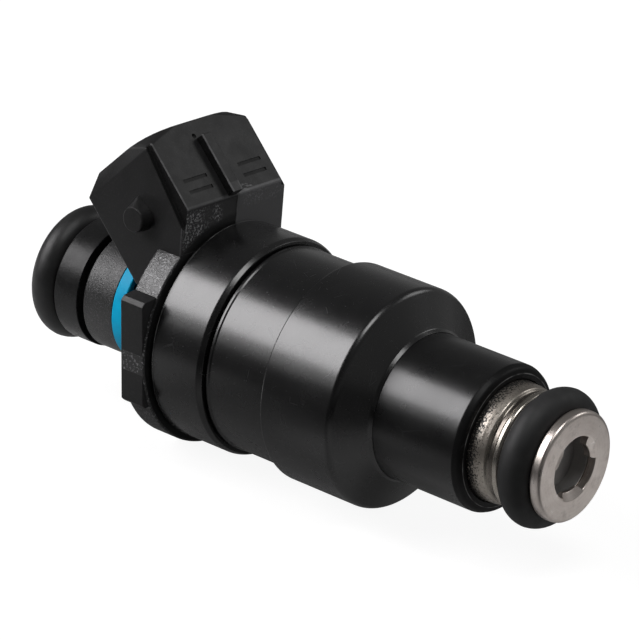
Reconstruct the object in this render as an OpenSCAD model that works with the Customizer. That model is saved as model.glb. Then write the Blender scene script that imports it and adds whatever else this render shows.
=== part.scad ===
// Port fuel injector with a leaning two-blade socket, lying along X with its nozzle towards +X.
// All sizes are in millimetres. The origin is on the axis, halfway along the manifold pilot.
// Stations named *_at are measured along the axis from the spray face towards the fuel inlet.

/* [Tip plate] */
// Radius of the flat spray face
tip_face_r = 5.6; // [5.2:0.05:5.75]
// Radius of the tip plate behind its rounded rim
tip_rim_r = 5.8; // [5.8:0.05:6.4]
// Thickness of the tip plate
tip_plate = 1.35; // [1.1:0.05:1.8]
// Depth of the socket in the plate's back that takes the valve body's nose
tip_socket = 0.45; // [0.3:0.05:0.6]
// Radius at which the three tabs end in the spray opening
tab_r = 2.35; // [1.8:0.05:2.8]
// Width of each tab as an angle
tab_angle = 38; // [20:1:70]
// Turn of the tabs about the axis
tab_turn = 34; // [0:1:120]

/* [Sealing rings] */
// Inside radius of both rubber rings
ring_inner_r = 3.76; // [3.5:0.01:4]
// Radius of the rubber section
ring_wire_r = 1.765; // [1.6:0.005:1.85]
// Slack of a ring along its groove
ring_slack = 0.08; // [0.04:0.01:0.3]
// Gap between a ring and the floor of its groove
ring_floor_gap = 0.05; // [0.02:0.01:0.1]

/* [Steel neck] */
// Radius of the bright flange beside the lower ring
flange_r = 6.2; // [5.9:0.05:6.3]
// Length of that flange
flange_len = 0.9; // [0.6:0.05:1.4]
// Radius of the crease between flange and bead
crease_r = 5.85; // [5.6:0.05:5.9]
// Length of the crease
crease_len = 0.45; // [0.3:0.05:0.8]
// Largest radius of the rounded bead
bead_r = 6.25; // [6:0.05:6.35]
// Length of the bead
bead_len = 2.4; // [2:0.05:3]

/* [Painted housings] */
// Radius of the manifold pilot
pilot_r = 7.8; // [7.6:0.05:8.4]
// Length of the pilot from its nose to the shoulder
pilot_len = 13.0; // [11:0.05:14]
// Rounding of the pilot's nose
pilot_round = 0.85; // [0.6:0.05:0.9]
// Length of the lip at the pilot's root
pilot_lip_len = 1.0; // [0.5:0.05:1.5]
// Height of the lip above the pilot
pilot_lip = 0.3; // [0.15:0.05:0.6]
// Depth of the recess in the barrel's face that takes the lip
lip_sink = 0.5; // [0.3:0.05:0.8]
// Radius of the large barrel over the coil
barrel_r = 11.75; // [11.5:0.05:12.5]
// Length of the large barrel
barrel_len = 9.05; // [8:0.05:11]
// Radius of the barrel's upper step
step_r = 11.0; // [10.9:0.05:11.3]
// Length of the upper step
step_len = 7.95; // [7:0.05:10]
// Length of the crimp groove above the step
crimp_len = 0.7; // [0.4:0.05:1.2]
// Radius of the crimp groove's floor
crimp_r = 10.35; // [10.2:0.05:10.6]
// Radius of the upper sleeve
sleeve_r = 11.75; // [11:0.05:12.2]
// Length of the upper sleeve
sleeve_len = 6.25; // [5:0.05:7]
// Bevel of the sleeve's front edge
sleeve_bevel = 0.35; // [0.1:0.05:0.6]
// Bevel of the barrel's front edge
barrel_bevel = 0.4; // [0.1:0.05:0.8]
// Inside radius of the coil space
coil_space_r = 10.0; // [9.7:0.05:10.2]
// Thickness of the barrel's front wall and of the sleeve's web
web = 1.5; // [1.2:0.05:2.2]

/* [Moulded head] */
// Gap seen between the upper sleeve and the base flange
head_gap = 0.15; // [0.1:0.05:0.5]
// Radius of the base flange
head_flange_r = 12.5; // [11.9:0.05:13]
// Thickness of the base flange
head_flange = 3.25; // [2.6:0.05:4]
// Distance of the base flange's flat from the axis
flange_flat = 11.55; // [11.3:0.05:12.2]
// Turn of that flat about the axis, from the socket towards +Y
flange_flat_turn = 52; // [45:1:60]
// Distance of the label pad's face from the axis
pad_face = 12.6; // [12.4:0.05:13.4]
// Height of the label pad's top above the axis
pad_top = 6.6; // [5:0.1:7.2]
// Depth of the label pad's foot below the axis
pad_foot = 5.0; // [4:0.1:6.5]
// Turn of the label pad about the axis
pad_turn = 5.5; // [0:0.5:8]
// Radius of the low neck under the colour ring
low_neck_r = 5.9; // [5.6:0.05:6]
// Length of the low neck
low_neck_len = 6.85; // [6:0.05:8]
// Radius of the textured neck
neck_r = 6.5; // [6.3:0.05:6.6]
// Length of the textured neck
neck_len = 4.1; // [3:0.05:6]
// Length of the clip groove
clip_len = 0.75; // [0.5:0.05:1.2]
// Depth of the clip groove
clip_depth = 0.8; // [0.4:0.05:1.1]
// Radius of the collar below the upper ring
collar_r = 6.7; // [6.6:0.05:6.9]
// Length of the collar
collar_len = 3.4; // [2.5:0.05:5]

/* [Colour ring] */
// Outside radius of the colour ring
colour_r = 6.65; // [6.55:0.05:6.8]
// Length of the colour ring
colour_len = 1.6; // [1:0.05:2.4]

/* [Socket] */
// Lean of the socket from square towards the inlet
lean = 45; // [40:1:50]
// Distance ahead of the head at which the socket's centre line meets the axis
lean_ahead = 6.9; // [6:0.1:8]
// Height of the rim along the leaning centre line
rim_height = 24.35; // [23.5:0.05:26]
// Height of the chamfered rim band
rim_band = 1.55; // [1:0.05:2]
// Half width of the socket across the axis
socket_half_w = 7.85; // [7.5:0.05:8.6]
// Half thickness of the socket
socket_half_t = 5.5; // [5.2:0.05:6]
// Wall of the socket
socket_wall = 1.35; // [1.1:0.05:1.6]
// Depth of the socket's hollow
socket_depth = 9.7; // [8:0.1:10]
// Width of the ledges on the socket's front corners
ledge_w = 0.52; // [0.3:0.02:0.9]
// Depth of those ledges
ledge_depth = 0.42; // [0.2:0.02:0.7]
// Half width of the key rib on the front
key_half_w = 0.58; // [0.4:0.02:0.9]
// Height of the key rib
key_height = 0.75; // [0.4:0.05:1.1]
// Height of the latch bars
latch_height = 0.18; // [0.1:0.02:0.4]
// Height of the side peg
peg_height = 1.5; // [0.8:0.05:2]
// Radius of the side peg at its root
peg_root_r = 1.5; // [1.2:0.05:1.8]
// Radius of the side peg at its end
peg_end_r = 1.35; // [0.9:0.05:1.5]

/* [Blades] */
// Distance between the two blades
blade_pitch = 5.0; // [4.9:0.1:6]
// Width of a blade
blade_w = 2.8; // [2.4:0.1:3.2]
// Thickness of a blade
blade_t = 0.8; // [0.6:0.05:0.85]
// Height of a blade above the hollow's floor
blade_height = 7.0; // [5:0.1:8]
// Width of the strip that runs to the coil
strip_w = 1.4; // [1:0.1:1.8]
// Height of the strip above the axis
strip_z = 7.7; // [7.2:0.05:8]

/* [Valve] */
// Radius of the bore that holds seat, guide and disc
seat_bore_r = 3.1; // [2.9:0.05:3.2]
// Depth of the spray chamber behind the tip plate
chamber = 1.7; // [1:0.05:2.2]
// Thickness of the orifice disc
disc = 0.2; // [0.15:0.01:0.35]
// Radius of each spray orifice
orifice_r = 0.14; // [0.08:0.01:0.2]
// Length of the valve seat
seat_len = 4.4; // [4:0.05:5]
// Radius of the outlet below the seat
seat_outlet_r = 0.75; // [0.5:0.05:1]
// Radius of the needle's ball
ball_r = 1.7; // [1.5:0.05:1.85]
// Radius of the needle's stem
needle_r = 1.0; // [0.8:0.05:1.1]
// Length of the needle's guide
guide_len = 1.0; // [0.8:0.05:1.4]
// Radius of the armature
armature_r = 4.6; // [4.5:0.05:4.7]
// Length of the armature
armature_len = 8.0; // [6:0.1:9]
// Depth of the spring's pocket in the armature
pocket_depth = 4.0; // [3:0.1:5]
// Length of the fuel space ahead of the armature
armature_room = 3.0; // [2:0.1:4]
// Lift of the needle from shut to open
lift = 0.1; // [0.06:0.01:0.15]

/* [Spring and fuel way] */
// Radius of the fuel bore
fuel_bore_r = 2.45; // [2.3:0.05:2.6]
// Radius of the inlet's filter bore
filter_bore_r = 3.0; // [2.8:0.05:3.1]
// Length of the filter basket from its foot to the inlet's end
filter_len = 12.6; // [10:0.1:15]
// Length of the basket's rim
filter_rim = 2.3; // [1.8:0.1:3]
// Depth of the basket's rim below the inlet's end
filter_sink = 0.5; // [0.3:0.05:1]
// Inside radius of the basket's bars
basket_r = 2.15; // [2:0.05:2.3]
// Thickness of the basket's bars
basket_bar = 0.35; // [0.25:0.05:0.45]
// Thickness of the filter's mesh
mesh_wall = 0.12; // [0.08:0.01:0.2]
// Radius of the inlet's end lip
inlet_lip_r = 5.0; // [4.6:0.05:5.1]
// Length of the end lip
inlet_lip_len = 0.7; // [0.5:0.05:0.9]
// Mean radius of the return spring
spring_r = 1.8; // [1.6:0.05:1.9]
// Radius of the spring's wire
spring_wire_r = 0.28; // [0.2:0.01:0.32]
// Number of turns of the spring
spring_turns = 9; // [6:1:11]
// Length of the spring's room above the pole face
spring_room = 9.8; // [8:0.1:12]
// Length of the adjusting tube
adjuster_len = 9.0; // [6:0.1:12]
// Bore of the adjusting tube
adjuster_bore_r = 1.3; // [0.8:0.05:1.6]

/* [Coil] */
// Inside radius of the coil bobbin
bobbin_bore_r = 5.0; // [4.98:0.01:5.1]
// Wall of the bobbin's barrel
bobbin_wall = 0.85; // [0.7:0.05:1]
// Thickness of each bobbin flange
bobbin_flange = 1.4; // [1.3:0.05:1.6]
// Outside radius of the winding
winding_r = 9.3; // [8.6:0.05:9.5]
// Radius of the rubber in the two coil seals
seal_wire_r = 0.5; // [0.45:0.01:0.52]

/* [Fits] */
// Gap between pieces that are pressed or moulded together
press_gap = 0.02; // [0.01:0.01:0.05]
// Radial clearance of the sliding needle and armature
slide_gap = 0.03; // [0.02:0.01:0.05]
// Gap kept under the ball and over the armature so that neither binds
rest_gap = 0.02; // [0.01:0.005:0.04]
// Room between pieces that only stand beside each other
stand_gap = 0.2; // [0.12:0.01:0.3]

/* [Hidden] */
$fn = 96;
nose_r = ring_inner_r - ring_floor_gap;
groove_len = 2 * ring_wire_r + ring_slack;
ring_r = ring_inner_r + ring_wire_r;
flange_at = tip_plate + groove_len;
crease_at = flange_at + flange_len;
bead_at = crease_at + crease_len;
bead_end_at = bead_at + bead_len;
pilot_at = bead_end_at + stand_gap;
shoulder_at = pilot_at + pilot_len;
step_at = shoulder_at + barrel_len;
crimp_at = step_at + step_len;
sleeve_at = crimp_at + crimp_len;
sleeve_end_at = sleeve_at + sleeve_len;
head_at = sleeve_end_at + head_gap;
low_neck_at = head_at + head_flange;
neck_at = low_neck_at + low_neck_len;
clip_at = neck_at + neck_len;
collar_at = clip_at + clip_len;
ring_at = collar_at + collar_len;
inlet_lip_at = ring_at + groove_len;
inlet_end_at = inlet_lip_at + inlet_lip_len;
wall_from = pilot_at + pilot_round;
wall_to = shoulder_at - pilot_lip_len;
datum = (wall_from + wall_to) / 2;
stem_r = 5.5;
spigot_r = 6.95;
lip_r = pilot_r + pilot_lip;
lip_seat_at = shoulder_at + lip_sink;
nose_ring_r = 6.9;
nose_ring = 0.4;
sleeve_bore_r = crimp_r - 1.05;
front_wall_at = shoulder_at + web;
stem_end_at = front_wall_at + 0.8;
bobbin_at = stem_end_at + stand_gap;
web_at = crimp_at - web - 0.5;
bobbin_end_at = web_at - stand_gap - 0.1;
plug_at = web_at + web + 0.6;
disc_at = tip_plate - tip_socket + chamber;
seat_at = disc_at + disc + press_gap;
guide_at = seat_at + seat_len + press_gap;
guide_end_at = guide_at + guide_len;
cone_at = seat_at + 0.7;
ball_at = cone_at - seat_outlet_r + (ball_r + rest_gap) * sqrt(2);
seat_well_r = ball_r + 0.3;
pole_at = stem_end_at + 2.3;
armature_end_at = pole_at - lift - rest_gap;
armature_at = armature_end_at - armature_len;
spring_seat_at = armature_end_at - pocket_depth;
armature_bore_at = armature_at - armature_room;
tube_r = armature_r;
guide_sleeve_r = armature_r + slide_gap + 0.28;
guide_sleeve_at = stem_end_at - 1.2;
guide_sleeve_end_at = pole_at + 2;
adjuster_at = pole_at + spring_room;
spring_from_at = spring_seat_at + spring_wire_r + press_gap;
spring_to_at = adjuster_at - spring_wire_r - press_gap;
filter_at = inlet_end_at - filter_len;
filter_bore_at = filter_at - 1.5;
filter_top_at = inlet_end_at - filter_sink;
filter_rim_at = filter_top_at - filter_rim;
filter_foot = 0.8;
rim_bore_r = basket_r - 0.25;
mesh_r = basket_r - 0.05;
pivot_at = head_at - lean_ahead;
wall_top = rim_height - rim_band;
hollow_half_t = socket_half_t - socket_wall;
hollow_half_w = socket_half_w - socket_wall;
hollow_floor = rim_height - socket_depth;
elbow_z = lean_ahead * tan(90 - lean) + socket_half_t / sin(lean);
foot_z = 5.0;
foot_back = socket_half_t / cos(lean) + foot_z * tan(lean) - lean_ahead;

// Parts by name; "all" shows the whole injector

// Turned piece about the axis: points are radius and station
module turned(profile) {
    translate([datum, 0, 0])
        rotate([0, -90, 0])
            rotate_extrude()
                polygon(profile);
}

// Local Z along the axis towards the inlet, starting at a station
module along(station) {
    translate([datum - station, 0, 0])
        rotate([0, -90, 0])
            children();
}

// Plain tube between two stations
module tube(outer, inner, from, to) {
    turned([[inner, from], [outer, from], [outer, to], [inner, to]]);
}

// Rubber ring of round section
module rubber_ring(mean_r, wire_r, station) {
    along(station)
        rotate_extrude()
            translate([mean_r, 0])
                circle(wire_r);
}

// Socket frame: Z along the leaning centre line, X out of the front face
module leaning() {
    translate([datum - pivot_at, 0, 0])
        rotate([0, -lean, 0])
            children();
}

// Box given by its two corners
module block(low, high) {
    translate(low)
        cube(high - low);
}

// Sector of a disc for one tab
module tab_sector(turn, reach) {
    rotate(turn)
        polygon([[0, 0], [reach * cos(tab_angle / 2), -reach * sin(tab_angle / 2)], [reach * 1.2, 0],
            [reach * cos(tab_angle / 2), reach * sin(tab_angle / 2)]]);
}

// Spray opening with three tabs reaching in
module spray_opening() {
    along(-1)
        linear_extrude(tip_plate + 2) {
            circle(tab_r);
            difference() {
                circle(seat_bore_r);
                for (i = [0:2])
                    tab_sector(90 - tab_turn + 120 * i, seat_bore_r * 1.5);
            }
        }
}

// Stainless plate that keeps the lower ring on the nose
module tip_plate_cap() {
    color([0.74, 0.71, 0.68])
        difference() {
            turned([[0, 0], [tip_face_r, 0], [tip_face_r + 0.6 * (tip_rim_r - tip_face_r), 0.12],
                [tip_rim_r, 0.4], [tip_rim_r, tip_plate - 0.15], [tip_rim_r - 0.15, tip_plate],
                [nose_r + press_gap, tip_plate], [nose_r + press_gap, tip_plate - tip_socket],
                [0, tip_plate - tip_socket]]);
            spray_opening();
        }
}

// Lower rubber ring
module manifold_ring() {
    color([0.05, 0.05, 0.055])
        rubber_ring(ring_r, ring_wire_r, tip_plate + groove_len / 2);
}

// Steel valve body: nose, bright flange, bead and the stem inside the pilot
module valve_body() {
    nose_at = tip_plate - tip_socket + press_gap;
    color([0.62, 0.59, 0.55])
        turned([[seat_bore_r, nose_at], [nose_r, nose_at], [nose_r, flange_at],
            [flange_r - 0.2, flange_at], [flange_r, flange_at + 0.2], [flange_r, crease_at - 0.15],
            [crease_r, crease_at], [crease_r, bead_at], [bead_r - 0.12, bead_at + 0.12],
            [bead_r - 0.03, bead_at + bead_len * 0.25], [bead_r, bead_at + bead_len * 0.5],
            [bead_r - 0.04, bead_at + bead_len * 0.75], [bead_r - 0.25, bead_end_at],
            [stem_r, bead_end_at + 0.1], [stem_r, stem_end_at],
            [guide_sleeve_r + press_gap, stem_end_at],
            [guide_sleeve_r + press_gap, guide_sleeve_at - press_gap],
            [armature_r + slide_gap, guide_sleeve_at - press_gap],
            [armature_r + slide_gap, armature_bore_at],
            [needle_r + 1, armature_bore_at], [needle_r + 1, guide_end_at + press_gap],
            [seat_bore_r, guide_end_at + press_gap]]);
}

// Thin disc with the spray orifices
module orifice_disc() {
    color([0.6, 0.58, 0.55])
        difference() {
            tube(seat_bore_r - press_gap, 0, disc_at, disc_at + disc);
            for (i = [0:3])
                along(disc_at - 1)
                    rotate(45 + 90 * i)
                        translate([0.45, 0, 0])
                            cylinder(r = orifice_r, h = disc + 2, $fn = 24);
        }
}

// Hard seat with a cone for the ball
module valve_seat() {
    color([0.66, 0.66, 0.68])
        turned([[seat_outlet_r, seat_at], [seat_bore_r - press_gap, seat_at],
            [seat_bore_r - press_gap, seat_at + seat_len], [seat_well_r, seat_at + seat_len],
            [seat_well_r, cone_at + seat_well_r - seat_outlet_r], [seat_outlet_r, cone_at]]);
}

// Ring that guides the needle, with flow holes
module needle_guide() {
    color([0.68, 0.66, 0.6])
        difference() {
            tube(seat_bore_r - press_gap, needle_r + slide_gap, guide_at, guide_end_at);
            for (i = [0:3])
                along(guide_at - 1)
                    rotate(45 + 90 * i)
                        translate([(needle_r + seat_bore_r) / 2, 0, 0])
                            cylinder(r = 0.35, h = guide_len + 2, $fn = 24);
        }
}

// Needle with its ball
module needle() {
    color([0.72, 0.72, 0.74]) {
        along(ball_at)
            sphere(ball_r);
        along(ball_at)
            cylinder(r = needle_r, h = spring_seat_at - ball_at);
    }
}

// Armature with the spring's pocket and its flow holes
module armature() {
    color([0.5, 0.5, 0.52])
        difference() {
            turned([[needle_r + press_gap, armature_at], [armature_r - 0.3, armature_at],
                [armature_r, armature_at + 0.3], [armature_r, armature_end_at - 0.2],
                [armature_r - 0.2, armature_end_at], [fuel_bore_r, armature_end_at],
                [fuel_bore_r, spring_seat_at], [needle_r + press_gap, spring_seat_at]]);
            for (i = [0:3])
                along(armature_at - 1)
                    rotate(45 + 90 * i)
                        translate([(armature_r + fuel_bore_r) / 2, 0, 0])
                            cylinder(r = 0.45, h = armature_len + 2, $fn = 32);
        }
}

// Thin sleeve that joins the valve body to the inlet tube around the armature
module guide_sleeve() {
    color([0.7, 0.7, 0.7])
        tube(guide_sleeve_r, armature_r + slide_gap, guide_sleeve_at, guide_sleeve_end_at);
}

// Coil spring that shuts the valve
module return_spring() {
    sides = 10;
    rings = spring_turns * 24;
    rise = spring_to_at - spring_from_at;
    slope = atan(rise / (360 * spring_turns) * 180 / PI / spring_r);
    points = [for (k = [0:rings], j = [0:sides - 1])
        let (a = 360 * spring_turns * k / rings, b = 360 * j / sides,
            out = spring_r + spring_wire_r * cos(b), side = spring_wire_r * sin(b) * sin(slope))
        [out * cos(a) + side * sin(a), out * sin(a) - side * cos(a),
            rise * k / rings + spring_wire_r * sin(b) * cos(slope)]];
    skin = [for (k = [0:rings - 1], j = [0:sides - 1])
        let (n = (j + 1) % sides)
        [k * sides + j, (k + 1) * sides + j, (k + 1) * sides + n, k * sides + n]];
    start = [[for (j = [0:sides - 1]) j]];
    end = [[for (j = [sides - 1:-1:0]) rings * sides + j]];
    color([0.75, 0.75, 0.77])
        along(spring_from_at)
            polyhedron(points, concat(skin, start, end));
    echo(spring_gap = rise / spring_turns - 2 * spring_wire_r);
}

// Pressed tube that sets the spring's load
module adjusting_tube() {
    color([0.72, 0.7, 0.66])
        tube(fuel_bore_r - press_gap, adjuster_bore_r, adjuster_at, adjuster_at + adjuster_len);
}

// Steel inlet tube, which is also the magnet's pole
module inlet_tube() {
    floor_r = nose_r;
    color([0.6, 0.58, 0.55])
        turned([[fuel_bore_r, pole_at], [tube_r - 0.2, pole_at], [tube_r, pole_at + 0.2],
            [tube_r, ring_at - stand_gap], [floor_r, ring_at - stand_gap], [floor_r, inlet_lip_at],
            [inlet_lip_r - 0.15, inlet_lip_at], [inlet_lip_r, inlet_lip_at + 0.15],
            [inlet_lip_r, inlet_end_at - 0.2], [inlet_lip_r - 0.2, inlet_end_at],
            [filter_bore_r + 0.2, inlet_end_at], [filter_bore_r, inlet_end_at - 0.2],
            [filter_bore_r, filter_bore_at], [fuel_bore_r, filter_bore_at - 0.5]]);
}

// Basket that carries the filter mesh
module filter_frame() {
    step = 0.5;
    color([0.86, 0.84, 0.78]) {
        turned([[basket_r, filter_rim_at], [filter_bore_r - press_gap, filter_rim_at],
            [filter_bore_r - press_gap, filter_top_at], [rim_bore_r, filter_top_at],
            [rim_bore_r, filter_rim_at + step], [basket_r, filter_rim_at + step]]);
        tube(basket_r + basket_bar, 0, filter_at, filter_at + filter_foot);
        for (i = [0:3])
            along(filter_at + filter_foot / 2)
                rotate(45 + 90 * i)
                    translate([basket_r, -0.3, 0])
                        cube([basket_bar, 0.6, filter_rim_at - filter_at]);
    }
}

// Mesh stocking of the filter
module filter_mesh() {
    color([0.8, 0.8, 0.78])
        tube(mesh_r, mesh_r - mesh_wall, filter_at + filter_foot + 0.05, filter_rim_at + 0.35);
}

// Painted pilot that stands in the manifold
module lower_housing() {
    q = pilot_round;
    lip_end_at = lip_seat_at - press_gap;
    color([0.045, 0.045, 0.05])
        turned([[bead_r + stand_gap, pilot_at - nose_ring], [nose_ring_r, pilot_at - nose_ring],
            [nose_ring_r, pilot_at], [pilot_r - q, pilot_at], [pilot_r - q * 0.62, pilot_at + q * 0.076],
            [pilot_r - q * 0.293, pilot_at + q * 0.293], [pilot_r - q * 0.076, pilot_at + q * 0.62],
            [pilot_r, wall_from], [pilot_r, wall_to], [lip_r - 0.1, wall_to + 0.05],
            [lip_r, wall_to + 0.2],
            [lip_r, lip_end_at - 0.1], [lip_r - 0.1, lip_end_at], [spigot_r, lip_end_at],
            [spigot_r, stem_end_at], [stem_r + press_gap, stem_end_at],
            [stem_r + press_gap, bead_end_at + 0.3], [bead_r + stand_gap, bead_end_at + 0.3]]);
}

// Painted barrel over the coil
module coil_housing() {
    q = barrel_bevel;
    color([0.045, 0.045, 0.05])
        turned([[spigot_r + press_gap, lip_seat_at], [lip_r + press_gap, lip_seat_at],
            [lip_r + press_gap, shoulder_at], [barrel_r - q, shoulder_at],
            [barrel_r - q * 0.293, shoulder_at + q * 0.293], [barrel_r, shoulder_at + q],
            [barrel_r, step_at - 0.25], [barrel_r - 0.25, step_at], [step_r, step_at],
            [step_r, crimp_at - 0.2], [step_r - 0.2, crimp_at], [coil_space_r, crimp_at],
            [coil_space_r, front_wall_at], [spigot_r + press_gap, front_wall_at]]);
}

// Painted upper sleeve with the web that closes the coil space
module upper_housing() {
    slot_half_w = blade_t / 2 + 0.4;
    slot_half_h = strip_w / 2 + 0.4;
    color([0.045, 0.045, 0.05])
        difference() {
            turned([[tube_r + press_gap, web_at], [coil_space_r - press_gap, web_at],
                [coil_space_r - press_gap, crimp_at + press_gap], [crimp_r, crimp_at + press_gap],
                [crimp_r, sleeve_at], [sleeve_r - sleeve_bevel, sleeve_at], [sleeve_r, sleeve_at + sleeve_bevel],
                [sleeve_r, sleeve_end_at - 0.25], [sleeve_r - 0.25, sleeve_end_at],
                [sleeve_bore_r, sleeve_end_at], [sleeve_bore_r, web_at + web],
                [tube_r + press_gap, web_at + web]]);
            for (side = [-1, 1])
                translate([datum - web_at - web / 2, side * blade_pitch / 2, strip_z])
                    cube([web + 2, 2 * slot_half_w, 2 * slot_half_h], center = true);
        }
}

// Bobbin of the coil
module coil_bobbin() {
    barrel_top = bobbin_bore_r + bobbin_wall;
    flange_top = winding_r + 0.4;
    upper_at = bobbin_end_at - bobbin_flange;
    pocket = 2 * seal_wire_r + 0.05;
    color([0.16, 0.15, 0.14])
        difference() {
            turned([[bobbin_bore_r, bobbin_at], [flange_top, bobbin_at],
                [flange_top, bobbin_at + bobbin_flange], [barrel_top, bobbin_at + bobbin_flange],
                [barrel_top, upper_at], [flange_top, upper_at],
                [flange_top, bobbin_end_at], [bobbin_bore_r, bobbin_end_at]]);
            tube(guide_sleeve_r + pocket + 0.1, 0, bobbin_at - 1, bobbin_at + pocket);
            tube(tube_r + pocket + 0.1, 0, bobbin_end_at - pocket, bobbin_end_at + 1);
            for (side = [-1, 1])
                terminal_shape(side, press_gap);
        }
}

// Copper winding on the bobbin
module coil_winding() {
    color([0.62, 0.32, 0.16])
        tube(winding_r, bobbin_bore_r + bobbin_wall + press_gap, bobbin_at + bobbin_flange + press_gap,
            bobbin_end_at - bobbin_flange - press_gap);
}

// Seal between the bobbin and the inlet tube
module upper_coil_seal() {
    color([0.06, 0.06, 0.06])
        rubber_ring(tube_r + press_gap + seal_wire_r, seal_wire_r,
            bobbin_end_at - seal_wire_r - press_gap);
}

// Seal between the bobbin and the guide sleeve
module lower_coil_seal() {
    color([0.06, 0.06, 0.06])
        rubber_ring(guide_sleeve_r + press_gap + seal_wire_r, seal_wire_r,
            bobbin_at + seal_wire_r + press_gap);
}

// One blade with the strip that joins it to the coil, grown by a gap to make its own pocket
module terminal_shape(side, grow) {
    blade_foot = (strip_z + blade_w / 2 * sin(lean)) / cos(lean);
    blade_end = hollow_floor + blade_height;
    strip_from_at = bobbin_end_at - 1;
    strip_to_at = pivot_at + blade_foot * sin(lean) + blade_w / 2 * cos(lean) - stand_gap;
    translate([datum, side * blade_pitch / 2, 0])
        rotate([90, 0, 0])
            linear_extrude(blade_t + 2 * grow, center = true) {
                translate([-pivot_at, 0])
                    rotate(lean)
                        translate([-blade_w / 2 - grow, blade_foot - grow])
                            square([blade_w + 2 * grow, blade_end - blade_foot + 2 * grow]);
                translate([-strip_to_at - grow, strip_z - strip_w / 2 - grow])
                    square([strip_to_at - strip_from_at + 2 * grow, strip_w + 2 * grow]);
            }
}

// Contact blade on the -Y side
module terminal_left() {
    color([0.78, 0.76, 0.72])
        terminal_shape(-1, 0);
}

// Contact blade on the +Y side
module terminal_right() {
    color([0.78, 0.76, 0.72])
        terminal_shape(1, 0);
}

// Side outline of socket and foot, thickness and height along the leaning centre line
module socket_body() {
    back = -socket_half_t;
    front = socket_half_t;
    translate([datum, 0, 0])
        rotate([90, 0, 0])
            linear_extrude(2 * socket_half_w, center = true)
                polygon([[-head_at, 0], [-head_at, elbow_z],
                    [-pivot_at + front * cos(lean) - rim_height * sin(lean),
                        front * sin(lean) + rim_height * cos(lean)],
                    [-pivot_at + back * cos(lean) - rim_height * sin(lean),
                        back * sin(lean) + rim_height * cos(lean)],
                    [-head_at - foot_back, foot_z], [-low_neck_at + 0.3, foot_z], [-low_neck_at + 0.3, 0]]);
}

// Everything beyond a plane through a point of the socket frame
module beyond(point, normal) {
    translate(point)
        rotate([0, acos(normal[2] / norm(normal)), atan2(normal[1], normal[0])])
            translate([-10, -10, 0])
                cube(20);
}

// Chamfers that narrow the rim band: two ends and four corners
module rim_chamfers() {
    end_cut = 0.55;
    corner_w = 3.55;
    leaning()
        for (side = [-1, 1]) {
            beyond([0, side * socket_half_w, wall_top], [0, side * rim_band, end_cut]);
            for (face = [-1, 1]) {
                corner_t = face > 0 ? 1.9 : 2.6;
                beyond([face * socket_half_t, side * socket_half_w, wall_top],
                    [face * (corner_w - end_cut) * rim_band, side * corner_t * rim_band,
                        corner_w * corner_t]);
            }
        }
}

// Hollow of the socket with rounded corners
module socket_hollow() {
    q = 1.2;
    leaning()
        translate([0, 0, hollow_floor])
            linear_extrude(socket_depth + 1) {
                square([2 * hollow_half_t, 2 * (hollow_half_w - q)], center = true);
                square([2 * (hollow_half_t - q), 2 * hollow_half_w], center = true);
                for (i = [-1, 1], j = [-1, 1])
                    translate([i * (hollow_half_t - q), j * (hollow_half_w - q)])
                        circle(q, $fn = 32);
            }
}

// Ledges along the socket's front corners
module corner_ledges() {
    for (side = [-1, 1])
        leaning()
            translate([socket_half_t, side * socket_half_w, rim_height / 2])
                cube([2 * ledge_depth, 2 * ledge_w, rim_height], center = true);
}

// Key rib and latch bars on the socket's front
module front_ribs() {
    low = wall_top - 5.85;
    leaning() {
        block([0.5 + hollow_half_t, -key_half_w, low],
            [socket_half_t + key_height, key_half_w, wall_top - 0.25]);
        for (side = [-1, 1])
            translate([socket_half_t, side * 4.2, wall_top - 5.1])
                cube([2 * latch_height, 4, 1.35], center = true);
    }
}

// Side peg with the ramp that runs down from its end to the wall
module side_peg() {
    height = wall_top - 5.15;
    root_y = -socket_half_w + 0.3;
    leaning()
        translate([0, root_y, height])
            hull() {
                rotate([90, 0, 0])
                    cylinder(r1 = peg_root_r, r2 = peg_end_r, h = peg_height + 0.3, $fn = 48);
                translate([0.9, -0.35, peg_root_r + 1])
                    cube([0.3, 0.35, 0.3]);
            }
}

// Label pad, a bare flat on the base flange
module label_pad() {
    q = 0.3;
    translate([datum - low_neck_at + 0.05, 0, 0])
        rotate([pad_turn, 0, 0])
            rotate([90, 0, 90])
                linear_extrude(head_flange - 0.25)
                    polygon([[-8, -pad_foot], [-pad_face + q, -pad_foot], [-pad_face, -pad_foot + q],
                        [-pad_face, pad_top - q], [-pad_face + q, pad_top], [-8, pad_top]]);
}

// What the flat on the +Y side takes off the base flange
module flange_side() {
    translate([datum - low_neck_at - stand_gap, 0, 0])
        rotate([-flange_flat_turn, 0, 0])
            translate([0, -head_flange_r, flange_flat])
                cube([head_flange + 2 * stand_gap, 2 * head_flange_r, head_flange_r]);
}

// Moulded head: plug, base flange, neck, collar and the leaning socket
module moulded_head() {
    bore = tube_r + press_gap;
    plug_r = sleeve_bore_r - press_gap;
    color([0.07, 0.07, 0.075])
        difference() {
            union() {
                difference() {
                    turned([[bore, plug_at], [plug_r, plug_at], [plug_r, head_at],
                        [head_flange_r - 0.2, head_at], [head_flange_r, head_at + 0.2],
                        [head_flange_r, low_neck_at - 0.3],
                        [head_flange_r - 0.3, low_neck_at], [low_neck_r, low_neck_at], [low_neck_r, neck_at],
                        [neck_r, neck_at], [neck_r, clip_at], [neck_r - clip_depth, clip_at],
                        [neck_r - clip_depth, collar_at], [collar_r, collar_at], [collar_r, ring_at - 0.3],
                        [collar_r - 0.3, ring_at], [bore, ring_at]]);
                    flange_side();
                }
                difference() {
                    socket_body();
                    rim_chamfers();
                    corner_ledges();
                    tube(bore, 0, plug_at, ring_at);
                }
                front_ribs();
                side_peg();
                label_pad();
            }
            socket_hollow();
            for (side = [-1, 1])
                terminal_shape(side, press_gap);
        }
}

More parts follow.
